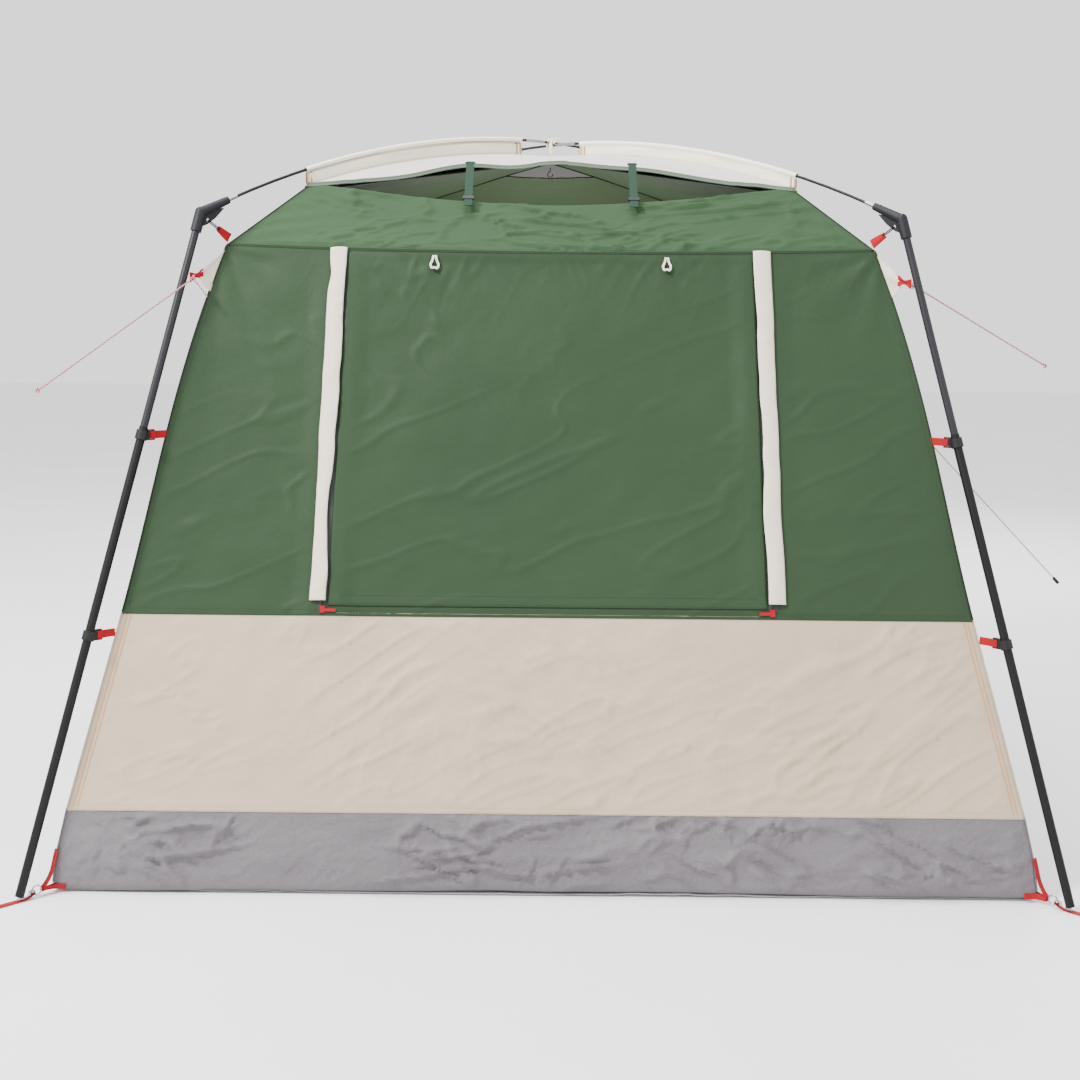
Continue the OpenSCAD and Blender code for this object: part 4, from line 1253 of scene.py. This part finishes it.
def zips(side, zip_at, low, lift, node):
    """Coil zips: woven tape with two rows of coil turns."""
    corners = [(-1, -1), (1, -1), (1, 1), (-1, 1)]
    sides = [(0, 1, 5, 4), (2, 3, 4, 5), (1, 2, 5), (3, 0, 4), (3, 2, 1, 0)]
    pieces = []
    for sign in (-1, 1):
        z = np.linspace(low, EAVES - 0.006, 160)
        line = zip_line(side, sign * zip_at(z), z, lift)
        across = turned([1.0, 0, 0], TURNS[side])
        tape = swept_piece(f"zip_tape_{side}_{sign}", line, flat_section(0.024, 0.0004), across,
                           MAT["coil"])
        count = int(lengths_along(line)[-1] / COIL_PITCH)
        at = np.linspace(low + 0.002, EAVES - 0.008, count)
        spots = zip_line(side, sign * zip_at(at), at, lift + 0.0006)
        n, way = wall_normal(side, at), directions(spots)
        points, faces = [], []
        for k, (p, out, w) in enumerate(zip(spots, n, way)):
            hand = 1 if k % 2 else -1
            base = len(points)
            centre = p + across * 0.0007 * hand
            points += [centre + across * 0.0020 * i + w * 0.0008 * j for i, j in corners]
            points += [centre + across * 0.0012 * i + out * 0.0014 for i in (-1, 1)]
            faces += [tuple(base + i for i in f) for f in sides]
        coil = mesh_piece(f"zip_coil_{side}_{sign}", points, faces, MAT["coil"])
        pieces += [tape, coil]
    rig.replaces(join(f"zip_{side}", pieces, ROOT, "zip_black"), node)


def storm_flaps():
    for hand, sign in (("left", -1), ("right", 1)):
        body = f"flap_{hand}"
        rows, cols = 190, 12
        t, s = spread((0, 1, rows), (0, 1, cols))
        low, high = 0.728, 1.628
        z = low + (high - low) * t
        seed = 11 if sign < 0 else 29
        wave = 0.0045 * noise(z / 0.16, 0 * z + 0.3, seed) + 0.002 * noise(z / 0.05, 0 * z + 0.7, seed)
        deep, at, wide = (0.0085, 0.95, 0.13) if sign < 0 else (0.003, 1.2, 0.3)
        narrow = deep * np.exp(-((z - at) / wide) ** 2)
        outer = window_zip(z) + 0.0335 + 0.5 * wave - narrow * 0.4
        inner = window_zip(z) - 0.0115 + wave + narrow
        if sign < 0:
            outer = outer - 0.006 * np.exp(-((z - 1.56) / 0.03) ** 2)
        x = sign * (outer + (inner - outer) * s)
        arch = 0.0088 * np.sin(np.pi * np.clip(s * 0.70 + 0.06, 0, 1))
        crumple = 0.0022 * noise(x / 0.03, z / 0.05, seed + 2)
        crumple += 0.0022 * creases(x, z, 20 * sign, 0.05, 0.06, 0.25, seed + 3, 0.12)
        grid = wall("front", x, z, 0.0040 + arch + crumple * s)
        flap = grid_piece(f"flap_cloth_{hand}", grid, stack(x, z), MAT["flap"], None, "flap_fabric", 0.0010)
        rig.replaces(flap, f"storm_flap_{hand}")
        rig.sheet(flap, flat=(0.045, 0.93), held="hung", rests_on=[f"green_front_{hand}"])
        middle = 1.2
        outer_point = wall("front", sign * (window_zip(middle) + 0.034), middle, 0.004)
        inner_point = wall("front", sign * (window_zip(middle) + 0.024), middle, 0.004)
        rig.blend(flap, ROOT, body, start=tuple(outer_point), end=tuple(inner_point))
        for up in (0.006, 0.012):
            zz = low + up + 0 * np.linspace(0, 1, 12)
            k = np.linspace(0.12, 0.92, 12)
            o, i = np.interp(zz, z[:, 0], outer[:, 0]), np.interp(zz, z[:, 0], inner[:, 0])
            xx = sign * (o + (i - o) * k)
            lifts = 0.0050 + 0.0088 * np.sin(np.pi * np.clip(k * 0.70 + 0.06, 0, 1))
            stitch_row("thread", body, wall("front", xx, zz, lifts), wall_normal("front", zz))


def toggles(side, half, lift, body, node):
    """Tape loop with a small cord toggle that holds the rolled panel."""
    loops, bits = [], []
    for hand, sign in (("a", -1), ("b", 1)):
        centre = sign * half
        top, low = 1.610, 1.577
        shape = [(-0.0025, top), (-0.006, top - 0.014), (-0.010, low + 0.010), (-0.0075, low),
                 (0.0, low + 0.001), (0.0075, low), (0.010, low + 0.010), (0.006, top - 0.014),
                 (0.0025, top)]
        path = smooth_path([(x, z, 0) for x, z in shape], 6)
        bow = 0.004 * np.sin(np.linspace(0, math.pi, len(path)))
        points = wall(side, centre + path[:, 0], path[:, 1], lift + 0.004 + bow)
        n = turned([0, -0.97, 0.25], TURNS[side])
        across = np.cross(directions(points), n)
        loops.append(swept_piece(f"loop_{side}_{hand}", points, flat_section(0.0065, 0.0014), across,
                                 MAT["flap"], body))
        peg_z = np.linspace(1.566, 1.592, 10)
        peg = wall(side, centre + 0.004 + (peg_z - 1.58) * -0.35, peg_z, lift + 0.005)
        bits.append(tube_piece(f"peg_{side}_{hand}", peg, 0.0022, MAT["black"], body, None, 8))
        cord_z = np.linspace(1.588, 1.606, 8)
        cord = wall(side, centre + 0.001 + (cord_z - 1.588) * 0.1, cord_z, lift + 0.004)
        bits.append(tube_piece(f"toggle_cord_{side}_{hand}", cord, 0.0012, MAT["elastic"], body, None, 6))
    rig.replaces(join(f"toggle_loops_{side}", loops, body, "flap_fabric"), node)
    join(f"toggle_pegs_{side}", bits, body, "black_trim")


# ---- Fittings: webbing, patches, tabs ----

def strap(name, turn, points, width, thick, across, material, slot, steps=6):
    path = turned(smooth_path(points, steps), turn)
    return swept_piece(name, path, flat_section(width, thick), turned(np.array(across, float), turn),
                       material, ROOT, slot)


def foot_webbing():
    """Y of webbing from each tub corner to the steel ring, and the peg loop past the foot."""
    corner = 1.242 * ROOT2
    pieces = []
    for name, turn in CORNER_TURNS.items():
        up_edge = [(corner - 0.011, 0.002, 0.112), (corner - 0.003, 0.002, 0.085),
                   (corner + 0.005, 0.002, 0.058), (corner + 0.017, 0.001, 0.036), (1.7885, 0.0, 0.019)]
        pieces.append(strap(f"web_up_{name}", turn, up_edge, 0.019, 0.0016, (0, 1, 0), MAT["red"], None))
        for sign in (-1, 1):
            base = [(corner - 0.020, sign * 0.024, 0.0165), (corner - 0.006, sign * 0.010, 0.0170),
                    (corner + 0.010, sign * 0.003, 0.0172), (1.7885, sign * 0.001, 0.0172)]
            pieces.append(strap(f"web_base_{name}_{sign}", turn, base, 0.016, 0.0014, (0, 0.5, 0.85),
                                MAT["red"], None))
        loop = [(1.7905, 0, 0.0165), (1.7885, 0, 0.0195), (1.7865, 0, 0.0165), (1.7885, 0, 0.0130),
                (1.7905, 0, 0.0165)]
        pieces.append(strap(f"web_loop_{name}", turn, loop, 0.015, 0.0012, (0, 1, 0), MAT["red"], None))
        past = [(1.8075, 0, 0.0150), (1.820, 0, 0.0070), (1.836, 0.0, 0.0030), (1.862, 0, 0.0022),
                (1.895, 0.001, 0.0028), (1.925, 0.0, 0.0030)]
        pieces.append(strap(f"web_peg_{name}", turn, past, 0.0185, 0.0016, (0, 1, 0), MAT["red"], None))
        eye = [(1.925 + 0.013 * (1 - math.cos(a)), 0.008 * math.sin(a), 0.0030)
               for a in np.linspace(0, math.tau, 17)]
        ring = turned(np.array(eye), turn)
        pieces.append(swept_piece(f"web_eye_{name}", ring[:-1], flat_section(0.004, 0.0022),
                                  turned([0.01, 0, 1.0], turn), MAT["red"]))
    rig.replaces(join("foot_webbing", pieces, ROOT, "red_webbing"), "corner_webbing")


def guy_patches():
    """A doubled cream triangle at each corner that spreads the guy line's pull."""
    for name, turn in CORNER_TURNS.items():
        low, high = 1.512, 1.624
        rows, cols = 26, 18
        t, s = spread((0, 1, rows), (0, 1, cols))
        z_edge = low + (high - low) * t
        r_edge = (half_width(z_edge)) * ROOT2 - 0.001
        tip_z = 1.551 + (t - 0.5) * 0.016
        tip_r = 1.290 + 0 * t
        bow = 0.006 * np.sin(np.pi * s) * (t - 0.5)
        r = r_edge + (tip_r - r_edge) * s
        z = z_edge + (tip_z - z_edge) * s + bow
        y = 0.0045 * np.sin(np.pi * s) * np.sin(2.2 * np.pi * t + 0.5)
        y += 0.0008 * noise(r / 0.02, z / 0.02, turn)
        grid = turned(stack(r, y, z), turn)
        patch = grid_piece(f"guy_patch_{name}", grid, stack(r, z), MAT["flap"], ROOT, "flap_fabric", 0.0014)
        if name == "fl":
            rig.replaces(patch, "guyout_patches")
        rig.sheet(patch, flat=(0.085, 0.112), held="stretched", rests_on=["guyout_tabs"], area=0.0042)
        for sign in (-1, 1):
            for row in (2, rows - 3):
                line = grid[row, 1:-1] + turned([0, 0.0004 if sign > 0 else -0.0018, 0], turn)
                stitch_row("thread", ROOT, line, turned([0, sign, 0], turn))


def apply_thickness(pieces):
    for piece in pieces:
        with bpy.context.temp_override(object=piece, active_object=piece):
            bpy.ops.object.modifier_apply(modifier="thickness")


def pinched_tabs():
    """Red webbing folded over each patch's tip and pinched where the guy line is tied."""
    tabs = []
    for name, turn in CORNER_TURNS.items():
        t, s = spread((0, 1, 14), (-1, 1, 9))
        r = 1.280 + 0.040 * t
        high = 0.0140 - 0.0075 * np.sin(np.pi * t) ** 2 - 0.0015 * t
        z = 1.557 - 0.010 * t + s * high
        y = 0.0022 * np.sin(np.pi * t) * np.cos(3 * s) + 0.0013
        tabs.append(grid_piece(f"guy_tab_{name}", turned(stack(r, y, z), turn),
                               stack(t * 0.04, s * 0.012), MAT["red"], ROOT, None, 0.0030))
    apply_thickness(tabs)
    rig.replaces(join("guy_tab_webbing", tabs, ROOT, "red_webbing"), "guyout_tabs")


def corner_tabs():
    """Folded red tabs that taper to the elastic."""
    tabs = []
    for name, turn in CORNER_TURNS.items():
        root_r, root_z = EAVES_HALF * ROOT2 - 0.008, 1.652
        tip_r, tip_z = root_r + 0.0375, root_z + 0.0232
        way = unit([tip_r - root_r, 0, tip_z - root_z])
        rise = np.array([-way[2], 0, way[0]])
        t, s = spread((0, 1, 14), (-1, 1, 9))
        wide = 0.0125 - 0.0062 * t ** 1.3
        centre = np.array([root_r, 0, root_z]) + t[..., None] * 0.0445 * way
        cup = 0.0035 * s ** 2 * (0.3 + t)
        grid = centre + (s * wide)[..., None] * rise + stack(0 * s, cup - 0.0006, 0 * s)
        tabs.append(grid_piece(f"tab_{name}", turned(grid, turn), stack(s * 0.012, t * 0.044), MAT["red"],
                               ROOT, None, 0.0022))
    apply_thickness(tabs)
    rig.replaces(join("corner_tab_webbing", tabs, ROOT, "red_webbing"), "corner_tabs")


def carried_over():
    """Materials for the CAD nodes that show as they are."""
    shown = {
        "elbow": [f"elbow_{corner}" for corner in CORNER_TURNS],
        "upper": [f"leg_upper_{corner}" for corner in CORNER_TURNS],
        "lower": [f"leg_lower_{corner}" for corner in CORNER_TURNS],
        "rod": ["roof_rod_a", "roof_rod_b"],
        "ferrule": ["rod_ferrules"],
        "steel": ["foot_rings", "foot_pins"],
        "black": ["pole_clips", "strap_glide_left", "strap_glide_right", "lantern_hook", "guy_tensioner"],
        "red": ["clip_straps", "zip_slider_left", "zip_slider_right", "door_slider_left",
                "door_slider_right"],
        "strap": ["vent_straps"],
        "elastic": ["corner_elastics"],
    }
    for key, names in shown.items():
        for name in names:
            material_of(nodes[name], MAT[key])


def floor_cloth():
    t, s = spread((-1, 1, 120), (-1, 1, 120))
    x, y = s * FLOOR_HALF, t * FLOOR_HALF
    z = 0.0050 + 0.0018 * noise(x / 0.3, y / 0.3, 5) + 0.003 * creases(x, y, 30, 0.12, 0.5, 0.2, 9)
    z = z + 0.003 * creases(x, y, -50, 0.14, 0.4, 0.2, 19)
    sheet = grid_piece("floor_cloth", stack(x, y, z), stack(x, y), MAT["floor"], ROOT,
                       "grey_fabric", 0.0012)
    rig.replaces(sheet, "floor_sheet")
    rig.sheet(sheet, flat=(2.47, 2.47), held="laid", rests_on=["foot_rings"])


def ground():
    m = Nodes("ground")
    m.colour(m.ramp(m.noise(m.where(), 1.5), [(0.3, (0.86, 0.86, 0.86)), (0.7, (0.90, 0.90, 0.90))]))
    m.set(Roughness=0.9)
    data = bpy.data.meshes.new("ground")
    corners = [(x, y, -0.001) for x, y in ((-30, -30), (30, -30), (30, 30), (-30, 30))]
    data.from_pydata(corners, [], [(0, 1, 2, 3)])
    floor = bpy.data.objects.new("ground", data)
    bpy.context.scene.collection.objects.link(floor)
    floor.data.materials.append(m.material)
    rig.stage(floor)


camera()
studio()
guy_lines()
ground()
floor_cloth()
tub_and_bands()
green_walls()
roof_slopes()
corner_seams()
fly_and_ceiling()
sleeves()
apex_tape()
window_and_door()
storm_flaps()
toggles("front", 0.305, 0.0032, "window", "window_toggles")
toggles("back", 0.250, 0.0036, "door", "door_toggles")
foot_webbing()
guy_patches()
pinched_tabs()
corner_tabs()
stitching()
carried_over()

bpy.context.view_layer.update()
with open("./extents.json", "w") as out:
    json.dump({"cad": [list(v) for v in CAD_BOX], "visual": [list(v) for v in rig.bounds()]}, out)
